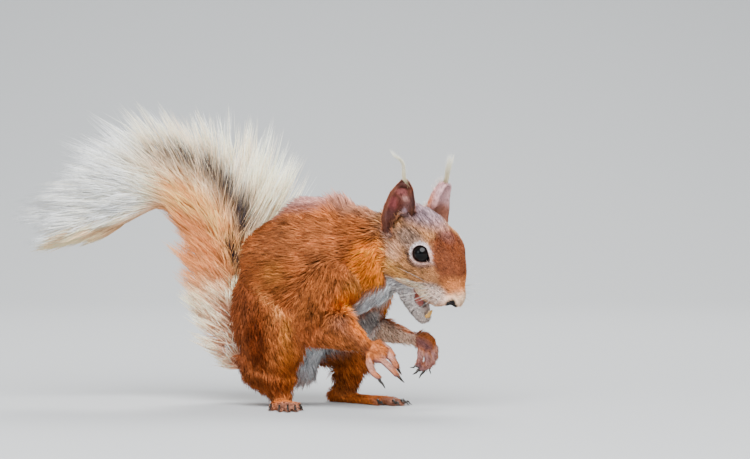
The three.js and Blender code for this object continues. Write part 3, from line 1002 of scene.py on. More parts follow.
    def shade(self, points: Array, normals: Array, near: dict[str, Array]) -> Array:
        """Linear colour at points on or near the skin, washed over patch by patch.

        Args:
            points: Points in millimetres.
            normals: Outward directions there.
            near: Closeness to each form of flesh, 0 to 1.

        Returns:
            One colour in each row.
        """
        places = {Where.BODY: POSTURE.to_body(points), Where.HEAD: POSTURE.to_head(points)}
        places[Where.LEFT_BODY] = places[Where.BODY]
        places[Where.RIGHT_EAR] = Ears.local("right", places[Where.HEAD])
        places[Where.LEFT_EAR] = Ears.local("left", places[Where.HEAD])
        paint = Paint(np.tile(linear(self.base), (len(points), 1)), points, normals, near)
        lay = paint.lay
        head = near["head"] + near["lower_jaw"]
        lay(self.head_base, head)
        for wash in self.washes:
            lay(wash.tint, wash.weight(places))
        local = places[Where.HEAD]
        x, y, z = mirrored(local).T
        ragged = 1.2 * CHAOS.at(points, 1.4)[:, 0]
        line = 9.6 + (16.3 - z) * 0.7
        lay(self.russet_face, 0.95 * near["head"] * step_between(-1.3, 1.5, x - line + ragged)
            * step_between(-6, -2, z))
        for wash in self.snout:
            lay(wash.tint, wash.weight(places) * head)
        lay(self.jaw, 0.8 * near["lower_jaw"])
        self.paint_eyes(paint, local)
        self.paint_ends(paint)
        for wash in self.ears:
            side = "right" if wash.where is Where.RIGHT_EAR else "left"
            cup = step_between(-0.3, 0.1, normals @ Ears.opening(side)) if side == "right" else 1.0
            lay(wash.tint, wash.weight(places) * near[f"{side}_ear"] * cup)
        self.paint_pad(paint, local)
        lay(self.mouth, head * (1 - step_between(0.82, 1.0, Head.cavity(local))))
        # The nose's dark opening and a painted shadow below it.
        lay(self.nostril, 1 - step_between(0.9, 1.1, Head.nostril(x, y, z)))
        share, offset = TAIL.nearest(points)
        tail = 1 - step_between(6, 9, TAIL.reach(points, share))
        tail *= 1 - np.clip(sum(near[n] for n in ("trunk", "right_thigh", "left_thigh")), 0, 1)
        mood = CHAOS.at(points, 3)[:, 0]
        plume = self.tail(share, offset, 0 * share, mood)
        return paint.colour + tail[:, None] * (plume - paint.colour)

    def paint_pad(self, paint: Paint, local: Array) -> None:
        """Lays four rows of dark dots on the whisker pads.

        Args:
            paint: What is laid over.
            local: Its places in the head's frame.
        """
        (first, top), (across, down) = self.dots_at, self.dot_spacing
        row = (top - local[:, 2]) / down
        column = (local[:, 0] - first) / across + 0.25 * row
        inside = (step_between(-0.6, -0.3, row) * (1 - step_between(3.3, 3.6, row))
                  * step_between(-0.6, -0.3, column) * (1 - step_between(3.3, 3.6, column)))
        gap = np.hypot((row - np.round(row)) * down, (column - np.round(column)) * across)
        paint.lay(self.dot, 0.75 * paint.near["head"] * inside * (1 - step_between(0.35, 0.75, gap)))

    def paint_eyes(self, paint: Paint, local: Array) -> None:
        """Lays the pale ring, the dark rim round the eyes and a painted shadow in the lower lid's fold
        below each ring.

        Args:
            paint: What is laid over.
            local: Its places in the head's frame.
        """
        lay = paint.lay
        v = mirrored(local) - EYE_AT
        gap = np.linalg.norm(v, axis=1)
        axis = Head.eye_axis()
        off = np.sqrt(np.maximum(gap**2 - (v @ axis) ** 2, 1e-6))
        facing = step_between(-1, 1, v @ axis)
        rim = Head.outside(v, off)
        uneven = rim + 0.35 * CHAOS.at(local, 1.1)[:, 0]
        under = step_between(0, 0.5, -v[:, 2] / gap)
        below = step_between(1.5, 2.1, uneven) * (1 - step_between(3.0, 4.2, uneven))
        # Painted shadow below the ring, in the lower lid's fold.
        lay(self.under_eye, 0.85 * facing * under * below)
        lay(self.eye_ring, 0.85 * facing * (1 - step_between(0.9, 1.7, uneven)))
        front = step_between(-0.1, 0.7, (v[:, 0] - v[:, 2]) / gap)
        lay(self.eye_blush, 0.8 * facing * front * (1 - step_between(1.4, 2.6, uneven)))
        lay(self.lid_edge, facing * (1 - step_between(0.25, 0.6, rim)))

    def paint_hand(self, paint: Paint, side: str) -> None:
        """Lays one hand's colours: furred back, pink fingers, dark creases, mauve palms and painted shade
        on its undersides.

        Args:
            paint: What is laid over.
            side: Right or left.
        """
        lay, points, normals, hand = paint.lay, paint.points, paint.normals, paint.near[f"{side}_hand"]
        gap, share = Fingers.nearest(side, points)
        finger = 1 - step_between(1.9, 2.9, gap)
        lay(self.hand_fur, hand)
        uneven = share + 0.06 * CHAOS.at(points, 2)[:, 0]
        lay(self.bare_hand, hand * finger * step_between(0.12, 0.3, uneven))
        lay(self.hand_fur, 0.75 * hand * finger * step_between(0.58, 0.7, share))
        lay(self.crease, 0.6 * hand * finger * np.exp(-(((share - 0.54) / 0.035) ** 2)))
        lay(self.crease, 0.7 * hand * finger * step_between(0.9, 1.0, share))
        # Mauve laid wherever the hand faces down or away: partly the bare palms' colour, partly painted
        # shade on the undersides.
        under = -normals[:, 2] if side == "right" else -normals @ unit(np.array([0.3, 0.75, 0.5]))
        lay(self.palm, 0.9 * hand * step_between(0.05, 0.55, under) * (1 - 0.2 * finger))

    def paint_ends(self, paint: Paint) -> None:
        """Lays the colours of the arms' inner sides, the ears, the hands and the feet.

        Args:
            paint: What is laid over.
        """
        lay, points, normals, near = paint.lay, paint.points, paint.normals, paint.near
        for side, sign in zip(SIDES, (-1, 1)):
            inward = step_between(0.2, 0.75, -sign * (normals @ POSTURE.body)[:, 1])
            lay(self.inner_limb, 0.95 * near[f"{side}_forearm"] * inward)
            lay(self.inner_arm, 0.95 * near[f"{side}_upper_arm"] * inward)
            ear = near[f"{side}_ear"]
            cup = step_between(-0.1, 0.3, normals @ Ears.opening(side))
            lay(self.ear_out, ear * (1 - cup))
            lay(self.ear_in if side == "right" else self.ear_lit, ear * cup)
            self.paint_hand(paint, side)
            foot = near[f"{side}_foot"]
            lay(self.foot, foot)
            ahead = np.linalg.norm(points[:, :2] - middle_of(f"{side}_shank")[:2], axis=1)
            lay(self.toes, foot * step_between(19, 30, ahead))

    def tail(self, share: Array, out: Array, tip: Array, mood: Array) -> Array:
        """Colours of the tail by place: a tan core, dark streaks outside it, and a cream fringe.

        Args:
            share: Nearest share of the tail's length.
            out: Distance to the outer side of the bend, in millimetres.
            tip: Share of the way from a hair's root to its tip.
            mood: A number from -1 to 1, the same all over a wisp.

        Returns:
            One colour in each row.
        """
        paint = Paint(np.tile(linear("#f6d2a8"), (len(share), 1)))
        lay = paint.lay
        low = 1 - step_between(0.22, 0.4, share)
        far = step_between(0.68, 0.84, share)
        middle = (1 - low) * (1 - far)
        core = 1 - step_between(5, 13, out + 3 * mood)
        lay("#d99f80", low * (1 - step_between(0.3, 0.9, tip)))
        lay("#ffb268", 0.9 * core * middle)
        lay("#b8693a", 0.6 * middle * (1 - step_between(-6, 0, out + 2 * mood)))
        fringe = step_between(10, 24, out + 4 * mood)
        lay("#f9dcb8", fringe * (1 - far))
        lay("#ffe9cc", step_between(0.55, 0.95, tip + 0.15 * mood) * np.maximum(fringe, low))
        lay("#fcf8ec", far * step_between(-6, 2, out + 3 * mood))
        lay("#cf9c6c", 0.7 * far * (1 - step_between(0.9, 0.97, share))
            * (1 - step_between(-7, -2, out + 3 * mood)))
        centre = np.interp(share, (0.44, 0.5, 0.6, 0.7, 0.78), (12, 14.5, 19.5, 23, 22))
        outer = np.exp(-(((out - centre) / 5.6) ** 2)) * step_between(0.42, 0.47, share)
        outer *= 1 - step_between(0.66, 0.8, share)
        inner = np.exp(-(((out - 3) / 3.2) ** 2)) * step_between(0.33, 0.38, share)
        inner *= 1 - step_between(0.44, 0.48, share)
        lay("#2a242b", np.clip(1.2 * (outer + inner), 0, 1) * step_between(-0.6, -0.1, mood))
        lay("#4b4144", 0.5 * far * step_between(0.75, 0.95, mood) * (1 - step_between(0.5, 0.8, tip)))
        return paint.colour


# ---- head
@dataclass
class Head:
    """The small forms of the face, in the head's own frame, the same on both sides."""

    lid: float = 5.0
    opening: float = 3.65
    balls: tuple = ((join, (30.4, 0, -10.0), (2.4, 3.4, 3.2), 1.6),
                    (carve, (30.9, 4.7, -11.9), (2.1, 1.8, 1.6), 0.3),
                    (carve, (30.5, 0, -14.6), (4, 0.45, 3.0), 0.5))

    @staticmethod
    def eye_axis() -> Array:
        """The direction that the left eye faces."""
        return unit(np.array([0.32, 0.91, 0.26]))

    @classmethod
    def outside(cls, v: Array, off: Array) -> Array:
        """Distance beyond the lids' opening of points by vector from the eye and distance off its axis.

        The opening is a circle and its two tangents to the tear corner: at an angle a from that its
        edge stands at the radius over the cosine of what a falls short of 0.9 radians.
        """
        short = 0.9 - np.arccos(np.clip(v @ cls.tear_corner() / off, -1, 1))
        return off - cls.opening / np.cos(np.maximum(short, 0))

    @classmethod
    def tear_corner(cls) -> Array:
        """Finds where the left eye's tear corner lies.

        Returns:
            A direction square to the eye's axis.
        """
        axis = cls.eye_axis()
        corner = np.array([0.965, -0.261, -0.277])
        return unit(corner - axis * (corner @ axis))

    def shape(self, skin: Array, x: Array, y: Array, z: Array) -> Array:
        """Adds lids and carves eyes, nostrils and the split lip.

        A lid is a ball a little larger than the globe, joined smoothly to the head.

        Args:
            skin: Distances to change.
            x: Forward coordinate, in the head's frame.
            y: Coordinate to the left.
            z: Upward coordinate.

        Returns:
            The new distances.
        """
        y = np.abs(y)
        v = [c - e for c, e in zip((x, y, z), EYE_AT)]
        gap = np.sqrt(sum(c * c for c in v))
        axis = self.eye_axis()
        ahead = sum(c * a for c, a in zip(v, axis))
        off = np.sqrt(np.maximum(gap * gap - ahead * ahead, 1e-6))
        skin = join(skin, gap - self.lid, 1.4)
        floor = 1.0 + 0.45 * np.maximum(off - 4.4, 0)
        hole = np.maximum(self.outside(np.stack(v, -1), off), floor - ahead)
        skin = carve(skin, hole, 0.35)
        brow = ((x - 13) / 6) ** 2 + (y / 9) ** 2 + ((z - 17) / 4.5) ** 2
        skin = skin + 1.4 * np.exp(-brow)
        for change, middle, reach, width in self.balls:
            skin = change(skin, self.ball(x, y, z, middle, reach), width)
        return skin

    @staticmethod
    def cavity(local: Array) -> Array:
        """Scaled distance from the middle of the mouth's cavity, 1 at its wall."""
        return np.linalg.norm((local - MOUTH_AT) / [10, 6.4, 5.4], axis=1)

    @staticmethod
    def nostril(x: Array, y: Array, z: Array) -> Array:
        """Scaled distance from one of the nostrils and the painted shadow below it, 1 at their edge; y is
        positive.
        """
        return np.sqrt(((x - 30.5) / 2.4) ** 2 + ((y - 4.0) / 3.2) ** 2 + ((z + 12.2) / 4.0) ** 2)

    @staticmethod
    def ball(x: Array, y: Array, z: Array, middle: tuple, reach: tuple) -> Array:
        """Rough distance from an ellipsoid: its scaled radius less one, times its least half axis."""
        scaled = np.sqrt(sum(((c - m) / r) ** 2 for c, m, r in zip((x, y, z), middle, reach)))
        return (scaled - 1) * min(reach)


# ---- hands
class Fingers:
    """The fingers, from their knuckles by their joints to their tips, round each wrist."""

    wrist = {"right": (20.5, -32, 29), "left": (43.5, -6.5, 31.4)}
    stations = {
        "right": (((5.5, 3.4, 1.6), (10.2, 3.8, -0.6), (13.2, 3, -4.2)),
                  ((6, 1.4, -1), (12.2, 1.4, -4.9), (15, 0.8, -9.4)),
                  ((5, -1.2, -3.2), (11.2, -1.8, -8.6), (15, -2.2, -12.8)),
                  ((1.8, -3, -3), (3, -4.6, -10), (6.6, -5.4, -13.8))),
        "left": (((6.6, 3, -1.4), (10.8, 1.6, -6.8), (7.4, -1.4, -12)),
                 ((7, 0.4, -3), (9.8, -2.2, -9.4), (5.4, -4.2, -13.8)),
                 ((5.4, -2.2, -4.6), (6.6, -5, -10.4), (3.4, -6.4, -14)),
                 ((3, -3.6, -4.4), (3.2, -6.8, -8.2), (2, -8, -12))),
    }

    @classmethod
    def lines(cls, side: str) -> list[Array]:
        """Middle line of each finger of a hand, in the model's frame."""
        place, shares = POSTURE.origin + cls.wrist[side], np.linspace(0, 1, 13)
        return [through(np.array(rows, float) + place, shares) for rows in cls.stations[side]]

    @classmethod
    def nearest(cls, side: str, points: Array) -> tuple[Array, Array]:
        """Finds the nearest finger.

        Args:
            side: Right or left.
            points: Points in millimetres.

        Returns:
            Distance from its middle line, and share of the way from its knuckle to its tip.
        """
        best, share = np.full(len(points), np.inf), np.zeros(len(points))
        for line in cls.lines(side):
            for i, place in enumerate(line):
                gap = np.linalg.norm(points - place, axis=1)
                share = np.where(gap < best, i / (len(line) - 1), share)
                best = np.minimum(gap, best)
        return best, share


# ---- flesh
@dataclass
class Flesh:
    """The distances of the flesh: all its solids closed into one and drawn in by the coat's depth.

    The body is grown and drawn in again by the closing to fill gaps, and its distances are told to
    the depth; hands, feet, ears and face are crisp. The one gives way to the other over the blend.
    """

    closing: float = 1.5
    deep: float = 12.0
    crisp: float = 0.25
    crisp_band: float = 4.0
    body_blend: tuple[float, float] = (1.0, 5.0)
    falloff: float = 1.5
    tail_join: float = 4.0
    arm: tuple = ((22.5, -19.5, 40.0), (33.8, -18.8, 31.2))
    arm_radius: tuple[float, float] = (4.8, 2.6)
    arm_join: float = 3.0
    fields: dict[str, Field] = field(default_factory=dict)

    def solve(self) -> None:
        """Works out the skin and the coat's depth on one lattice.

        The solids' distances are joined by their minimum. Where the body is large, the gaps
        between them are closed by growing the whole by the closing and measuring it anew; hands,
        feet, ears and face keep their small hollows. The skin is that distance plus the depth.
        """
        low, high = (np.array(c) / MM for c in CAD_BOX)
        start = np.floor((low - MARGIN) / STEP).astype(int) // 2 * 2
        count = np.ceil((high + MARGIN) / STEP).astype(int) - start
        count += 1 - count % 2
        whole = Field(start, np.full(tuple(count), BAND, np.float32), STEP)
        body, fine = whole.values, whole.values.copy()
        amount = np.full_like(body, 1e-6)
        depth = np.full_like(body, 2e-6)
        for name, lay in LAYS.items():
            part = self.fields[name] = node_field(name)
            where = whole.window_of(part)
            target = body if lay.smooth else fine
            target[where] = np.minimum(target[where], part.values)
            weight = np.exp(-np.maximum(part.values, -3) / self.falloff)
            weight = weight - math.exp(-BAND / self.falloff) + 1e-7
            amount[where] += weight
            depth[where] += weight * (lay.depth * self.thinning(whole, where, name))
        for name in TAIL_NODES:
            self.fields[name] = node_field(name)
        depth /= amount
        depth *= step_between(-0.5, 2.5, whole.axes(tuple(slice(0, n) for n in depth.shape))[2])
        solids = np.minimum(body, fine)
        for side in SIDES:
            eye = node_field(f"{side}_eye")
            where = whole.window_of(eye)
            solids[where] = np.minimum(solids[where], eye.values)
        grown = Field(start // 2, solids[::2, ::2, ::2] - self.closing, 2 * STEP)
        closed = soften(self.measured(grown, self.deep).values + self.closing, 3)
        sharp = self.measured(Field(start, solids - self.crisp, STEP), self.crisp_band).values + self.crisp
        share = step_between(*self.body_blend, body).astype(np.float32)
        skin = self.refined(closed)
        skin += share * (sharp - skin)
        skin = soften(skin + depth, 1)
        whole.values = skin
        self.skin = whole
        self.depth = Field(start, depth, STEP)
        self.add_tail()
        self.add_arm()
        self.add_face()
        self.round_ear()

    @staticmethod
    def thinning(whole: Field, where: Window, name: str) -> Array | float:
        """Share of a form's depth in a window, which varies only on the head and the jaw."""
        if name not in ("head", "lower_jaw"):
            return 1.0
        return head_thinning(Flesh.head_places(whole, where)).astype(np.float32)

    @staticmethod
    def head_places(whole: Field, where: Window) -> Array:
        """Coordinates of a window of the lattice in the head's frame."""
        return POSTURE.to_head(np.stack(np.broadcast_arrays(*whole.axes(where)), -1))

    @staticmethod
    def measured(shape: Field, band: float) -> Field:
        """Measures a surface anew.

        Args:
            shape: Rough distances.
            band: How far the true ones are told.

        Returns:
            The true distances on the same lattice.
        """
        points, triangles = surface(shape)
        if volume(points, triangles) < 0:
            triangles = triangles[:, ::-1]
        return level_set(points, triangles, shape.start, shape.values.shape, shape.step, band)

    @staticmethod
    def refined(values: Array) -> Array:
        """Doubles a lattice along each axis.

        Args:
            values: The coarse lattice.

        Returns:
            The fine one, each new value the mean of its two neighbours.
        """
        for axis in range(3):
            moved = np.moveaxis(values, axis, 0)
            out = np.empty((2 * len(moved) - 1,) + moved.shape[1:], np.float32)
            out[0::2] = moved
            out[1::2] = (moved[:-1] + moved[1:]) / 2
            values = np.moveaxis(out, 0, axis)
        return np.ascontiguousarray(values)

    def add_tail(self) -> None:
        """Joins the tapering tube of the tail: the least distance from short cones along its line."""
        where = self.skin.window(TAIL.line.min(0) - 10, TAIL.line.max(0) + 10)
        tube = np.full(self.skin.values[where].shape, BAND, np.float32)
        knots = TAIL.line[::5]
        shares = np.linspace(0, 1, TAIL.fine)[::5]
        for a, b, share in zip(knots[:-1], knots[1:], shares):
            gap, _ = self.skin.from_line(where, a, b)
            tube = np.minimum(tube, gap - float(TAIL.radius(share)))
        self.skin.values[where] = join(self.skin.values[where], tube, self.tail_join)

    def add_arm(self) -> None:
        """Fills out the near forearm: a cone with round ends from the elbow's fold to the wrist."""
        a, b = POSTURE.from_body(np.array(self.arm))
        where = self.skin.window(np.minimum(a, b) - 10, np.maximum(a, b) + 10)
        gap, t = self.skin.from_line(where, a, b)
        elbow, wrist = self.arm_radius
        cone = (gap - (elbow - (elbow - wrist) * t)).astype(np.float32)
        self.skin.values[where] = join(self.skin.values[where], cone, self.arm_join)

    def round_ear(self) -> None:
        """Rounds off the left ear's top: above a height nothing stays outside a circle."""
        middle = POSTURE.from_head(np.array(Ears.at["left"]) + Ears.axes("left") @ [0, 0, 16])
        where = self.skin.window(middle - 11, middle + 11)
        local = Ears.local("left", self.head_places(self.skin, where))
        circle = np.hypot(local[..., 1] - 0.4, np.maximum(local[..., 2] - 12.4, 0)) - 8.6
        circle = np.where(local[..., 2] > 12.4, circle, -5).astype(np.float32)
        self.skin.values[where] = carve(self.skin.values[where], -circle, 0.6)

    def add_face(self) -> None:
        """Shapes the lids, nostrils and lips."""
        ends = POSTURE.from_head(np.array([[0, 0, -6], [33, 0, -10], [11, 18, 8], [11, -18, 8]]))
        where = self.skin.window(ends.min(0) - 12, ends.max(0) + 12)
        local = self.head_places(self.skin, where).astype(np.float32)
        self.skin.values[where] = Head().shape(self.skin.values[where], *np.moveaxis(local, -1, 0))

    def closeness(self, points: Array) -> dict[str, Array]:
        """Works out how much each form of flesh counts at points, falling off with distance.

        Args:
            points: Points in millimetres.

        Returns:
            A share for each point, by form; together they are 1.
        """
        weights = {n: np.exp(-np.maximum(self.fields[n].at(points), -4) / 1.2) for n in LAYS}
        total = sum(weights.values())
        return {n: w / total for n, w in weights.items()}


# ---- finishes
def filled(node: bpy.types.Node, sockets: dict[str, float | tuple]) -> bpy.types.Node:
    """The same node with values in its input sockets, which are known by name."""
    for name, value in sockets.items():
        node.inputs[name].default_value = value
    return node


@dataclass(frozen=True)
class Finish:
    """A procedural material over the colour attribute.

    Attributes:
        name: Name of the material.
        roughness: Of its gloss.
        grain: Size of its mottling, in millimetres.
        contrast: Strength of the mottling.
        bump: Depth of its relief, in millimetres.
        bump_grain: Size of the relief.
        specular: Level of its gloss.
        coat: Weight of a clear wet layer.
    """

    name: str
    roughness: float = 0.6
    grain: float = 1.2
    contrast: float = 0.3
    bump: float = 0.1
    bump_grain: float = 0.6
    specular: float = 0.4
    coat: float = 0.0

    def material(self) -> bpy.types.Material:
        """Colour attribute times a mottling, with a fine relief.

        Returns:
            The material, made once.
        """
        if self.name in bpy.data.materials:
            return bpy.data.materials[self.name]
        made = bpy.data.materials.new(self.name)
        made.use_nodes = True
        nodes = made.node_tree.nodes
        shader = filled(nodes["Principled BSDF"], {
            "Roughness": self.roughness, "Specular IOR Level": self.specular,
            "Coat Weight": self.coat, "Coat Roughness": 0.06})
        tint = nodes.new("ShaderNodeAttribute")
        tint.attribute_name = "coat"
        place = nodes.new("ShaderNodeTexCoord")
        mottle = filled(nodes.new("ShaderNodeTexNoise"), {"Scale": 1 / (self.grain * MM), "Detail": 3})
        ramp = nodes.new("ShaderNodeValToRGB")
        for i, (position, gain) in enumerate(((0.3, 1 - self.contrast), (0.7, 1 + self.contrast))):
            ramp.color_ramp.elements[i].position = position
            ramp.color_ramp.elements[i].color = (gain,) * 3 + (1,)
        mix = nodes.new("ShaderNodeMix")
        mix.data_type = "RGBA"
        mix.blend_type = "MULTIPLY"
        filled(mix, {"Factor": 1.0})
        relief = filled(nodes.new("ShaderNodeTexNoise"), {"Scale": 1 / (self.bump_grain * MM), "Detail": 2})
        bump = filled(nodes.new("ShaderNodeBump"), {"Strength": 0.6, "Distance": self.bump * MM})
        for source, out, target, into in (
                (place, "Object", mottle, "Vector"), (place, "Object", relief, "Vector"),
                (mottle, "Fac", ramp, "Fac"), (tint, "Color", mix, "A"), (ramp, "Color", mix, "B"),
                (mix, "Result", shader, "Base Color"), (relief, "Fac", bump, "Height"),
                (bump, "Normal", shader, "Normal")):
            made.node_tree.links.new(source.outputs[out], target.inputs[into])
        return made


SKIN_FINISH = Finish("skin_and_down", 0.62, 0.9, 0.22, 0.14, 0.5, specular=0.2)
FUR_FINISH = Finish("fur", 0.6, 0.8, 0.16, 0.02, 0.3, specular=0.12)
TAIL_FINISH = Finish("tail_hair", 0.55, 1.1, 0.1, 0.02, 0.3, specular=0.18)
EYE_FINISH = Finish("wet_eye", 0.1, 1.4, 0.3, 0.0, 1.0, specular=0.15)
HORN_FINISH = Finish("claw_horn", 0.28, 0.7, 0.35, 0.03, 0.4, specular=0.6)
ENAMEL_FINISH = Finish("tooth_enamel", 0.22, 1.0, 0.15, 0.02, 0.5, specular=0.6)
TONGUE_FINISH = Finish("tongue", 0.3, 0.6, 0.2, 0.12, 0.35, specular=0.6, coat=0.4)
WHISKER_FINISH = Finish("whisker", 0.35, 2.0, 0.2, 0.0, 1.0, specular=0.5)


def dress(piece: bpy.types.Object, finish: Finish, slot: str, *nodes: str) -> bpy.types.Object:
    """Gives a piece its finish and its body, and hides the nodes it stands for.

    Args:
        piece: The object.
        finish: Its finish.
        slot: Not used.
        *nodes: The CAD nodes that it replaces.

    Returns:
        The same object.
    """
    piece.data.materials.append(finish.material())
    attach(piece, "root")
    if nodes:
        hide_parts(*nodes)
    log.info("%s: %d faces, %s", piece.name, len(piece.data.polygons), finish.name)
    return piece


# ---- skin
@dataclass
class Skin:
    """One closed skin in place of all the nodes of flesh."""

    flesh: Flesh
    markings: Markings
    adaptivity: float = 0.08

    def build(self) -> bpy.types.Object:
        """Draws the surface where the skin's distance is nought, and colours it.

        Returns:
            The skin.
        """
        self.points, self.triangles = surface(self.flesh.skin, self.adaptivity)
        normals = self.flesh.skin.normals(self.points)
        tint = self.markings.shade(self.points, normals, self.flesh.closeness(self.points))
        piece = put_mesh("skin", self.points, self.triangles, tint)
        return dress(piece, SKIN_FINISH, "coat_russet", *LAYS, *TAIL_NODES)


# ---- short coat
@dataclass(frozen=True)
class CoatPatch:
    """One piece of the coat: its name, the forms it grows on, its side and its count of tufts."""

    name: str
    nodes: tuple[str, ...]
    count: int
    slot: str
    side: int = 0


def both(*parts: str) -> tuple[str, ...]:
    """Names of paired nodes on both sides."""
    return tuple(f"{side}_{part}" for side in SIDES for part in parts)


COAT_PATCHES = (
    CoatPatch("coat_right_flank", ("trunk",), 17500, "coat_russet", -1),
    CoatPatch("coat_left_flank", ("trunk",), 17500, "coat_russet", 1),
    CoatPatch("coat_thighs", both("thigh"), 13000, "coat_russet"),
    CoatPatch("coat_shoulders", ("neck",) + both("upper_arm"), 13000, "coat_orange"),
    CoatPatch("coat_right_head", ("head", "lower_jaw"), 16000, "coat_russet", -1),
    CoatPatch("coat_left_head", ("head", "lower_jaw"), 14500, "coat_russet", 1),
    CoatPatch("coat_limbs", both("forearm", "shank", "foot"), 14000, "coat_orange"),
    CoatPatch("coat_hands_and_ears", both("hand", "ear"), 7500, "ear_inside"),
)


@dataclass
class Coat:
    """The short coat: solid tufts that lie along the body and reach the tips' surface.

    A root sits in the skin by the bed, a tip is gathered towards the middle of its lock, and bare
    is the share of the hair that is kept on the palms and inside the ears.
    """

    skin: Skin
    flesh: Flesh
    markings: Markings
    rng: np.random.Generator
    bed: float = 0.35
    gather: float = 0.6
    stretch: float = 0.28
    bare: tuple[float, float] = (0.05, 0.35)
    # Brightness at a tuft's root, middle and tip: the dark root is partly grey underfur and partly painted
    # shade deep in the coat, the bright tip partly pale hair ends and partly a painted highlight.
    shades: tuple[float, float, float] = (0.32, 0.95, 1.45)

    def build(self) -> list[bpy.types.Object]:
        """Plants and dresses every patch.

        Returns:
            The pieces.
        """
        points, triangles = self.skin.points, self.skin.triangles
        a, b, c = (points[triangles[:, i]] for i in range(3))
        self.middles = (a + b + c) / 3
        self.areas = np.linalg.norm(np.cross(b - a, c - a), axis=1) / 2
        gaps = np.stack([self.flesh.fields[n].at(self.middles) for n in LAYS])
        self.region = np.array(list(LAYS))[gaps.argmin(0)]
        reach = TAIL.reach(self.middles, TAIL.nearest(self.middles)[0])
        self.region[(gaps.min(0) > 0.3) & (reach < 9)] = "tail"
        return [self.patch(patch) for patch in COAT_PATCHES]

    def roots(self, patch: CoatPatch) -> tuple[Array, Array]:
        """Random places on the skin of a patch, as many to each square millimetre as the coat needs.

        Args:
            patch: The patch.

        Returns:
            Points and the triangle of each.
        """
        weight = self.areas * np.isin(self.region, patch.nodes)
        fineness = {n: 1 / (LAYS[n].length * LAYS[n].width) for n in patch.nodes}
        weight *= np.array([fineness.get(n, 0) for n in self.region])
        if patch.side:
            weight = weight * (POSTURE.to_body(self.middles)[:, 1] * patch.side > 0)
        if "head" in patch.nodes:
            weight = weight * (1 + 1.2 * step_between(-4, 16, POSTURE.to_head(self.middles)[:, 0]))
            weight = weight * self.off_lining(self.middles)
        if "right_ear" in patch.nodes:
            weight = weight * self.off_bare(self.middles)
        pick = self.rng.choice(len(weight), patch.count, p=weight / weight.sum())
        u, v = self.rng.random((2, patch.count, 1))
        over = u + v > 1
        u, v = np.where(over, 1 - u, u), np.where(over, 1 - v, v)
        a, b, c = (self.skin.points[self.skin.triangles[pick, i]] for i in range(3))
        return a + u * (b - a) + v * (c - a), pick

    @staticmethod
    def off_lining(points: Array) -> Array:
        """Keeps hair out of the mouth and the nostrils and off the lids' edge.

        Args:
            points: Points in millimetres.

        Returns:
            1 where hair grows, 0 where it doesn't.
        """
        local = mirrored(POSTURE.to_head(points))
        v = local - EYE_AT
        off = np.sqrt(np.maximum((v**2).sum(1) - (v @ Head.eye_axis()) ** 2, 0))
        before = np.clip(v @ Head.tear_corner() / np.maximum(off, 1e-6), 0, 1)
        lid = (v @ Head.eye_axis() > 0) & (Head.outside(v, np.maximum(off, 1e-6)) < 0.4 + 0.9 * before)
        return ((Head.cavity(local) > 1.0) & ~lid & (Head.nostril(*local.T) > 1.5)).astype(float)

    def off_bare(self, points: Array) -> Array:
        """Thins the hair on the palms and inside the ears.

        Args:
            points: Middles of all the skin's triangles.

        Returns:
            Share of the hair to keep on each.
        """
        normals = self.flesh.skin.normals(points)
        keep = np.ones(len(points))
        for side in SIDES:
            keep[(self.region == f"{side}_hand") & (normals[:, 2] < -0.1)] = self.bare[0]
            keep[(self.region == f"{side}_ear") & (normals @ Ears.opening(side) > 0.2)] = self.bare[1]
        return keep

    def lie(self, points: Array, near: dict[str, Array]) -> Array:
        """Direction that the coat lies in, before it is laid on the skin.

        Backwards and down on the trunk, away from the nose on the head, and towards the paw on a
        limb, mixed by closeness and ruffled by a smooth random field.

        Args:
            points: Roots.
            near: Closeness to each form.

        Returns:
            One direction in each row.
        """
        place = POSTURE.to_body(points)
        low = step_between(0, 1, (80 - place[:, 2]) / 50)
        chest = step_between(28, 44, place[:, 0])
        back = np.column_stack([chest - 1, 0 * low, -0.12 - 0.5 * low - 0.9 * chest])
        back = back @ POSTURE.body.T
        from_nose = unit(points - POSTURE.from_head(np.array([34, 0, -6])))
        total = np.zeros_like(points)
        for name, lay in LAYS.items():
            if lay.flow is Flow.BACKWARD:
                way = back
            elif lay.flow is Flow.FROM_NOSE:
                way = from_nose
            else:
                first, last = (np.array(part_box(n)).mean(0) for n in lay.run)
                way = unit(last - first)
            total += near[name][:, None] * way
        total = unit(total)
        return total + 0.24 * CHAOS.at(points, 9) + 0.1 * CHAOS.at(points + 50, 3.5)

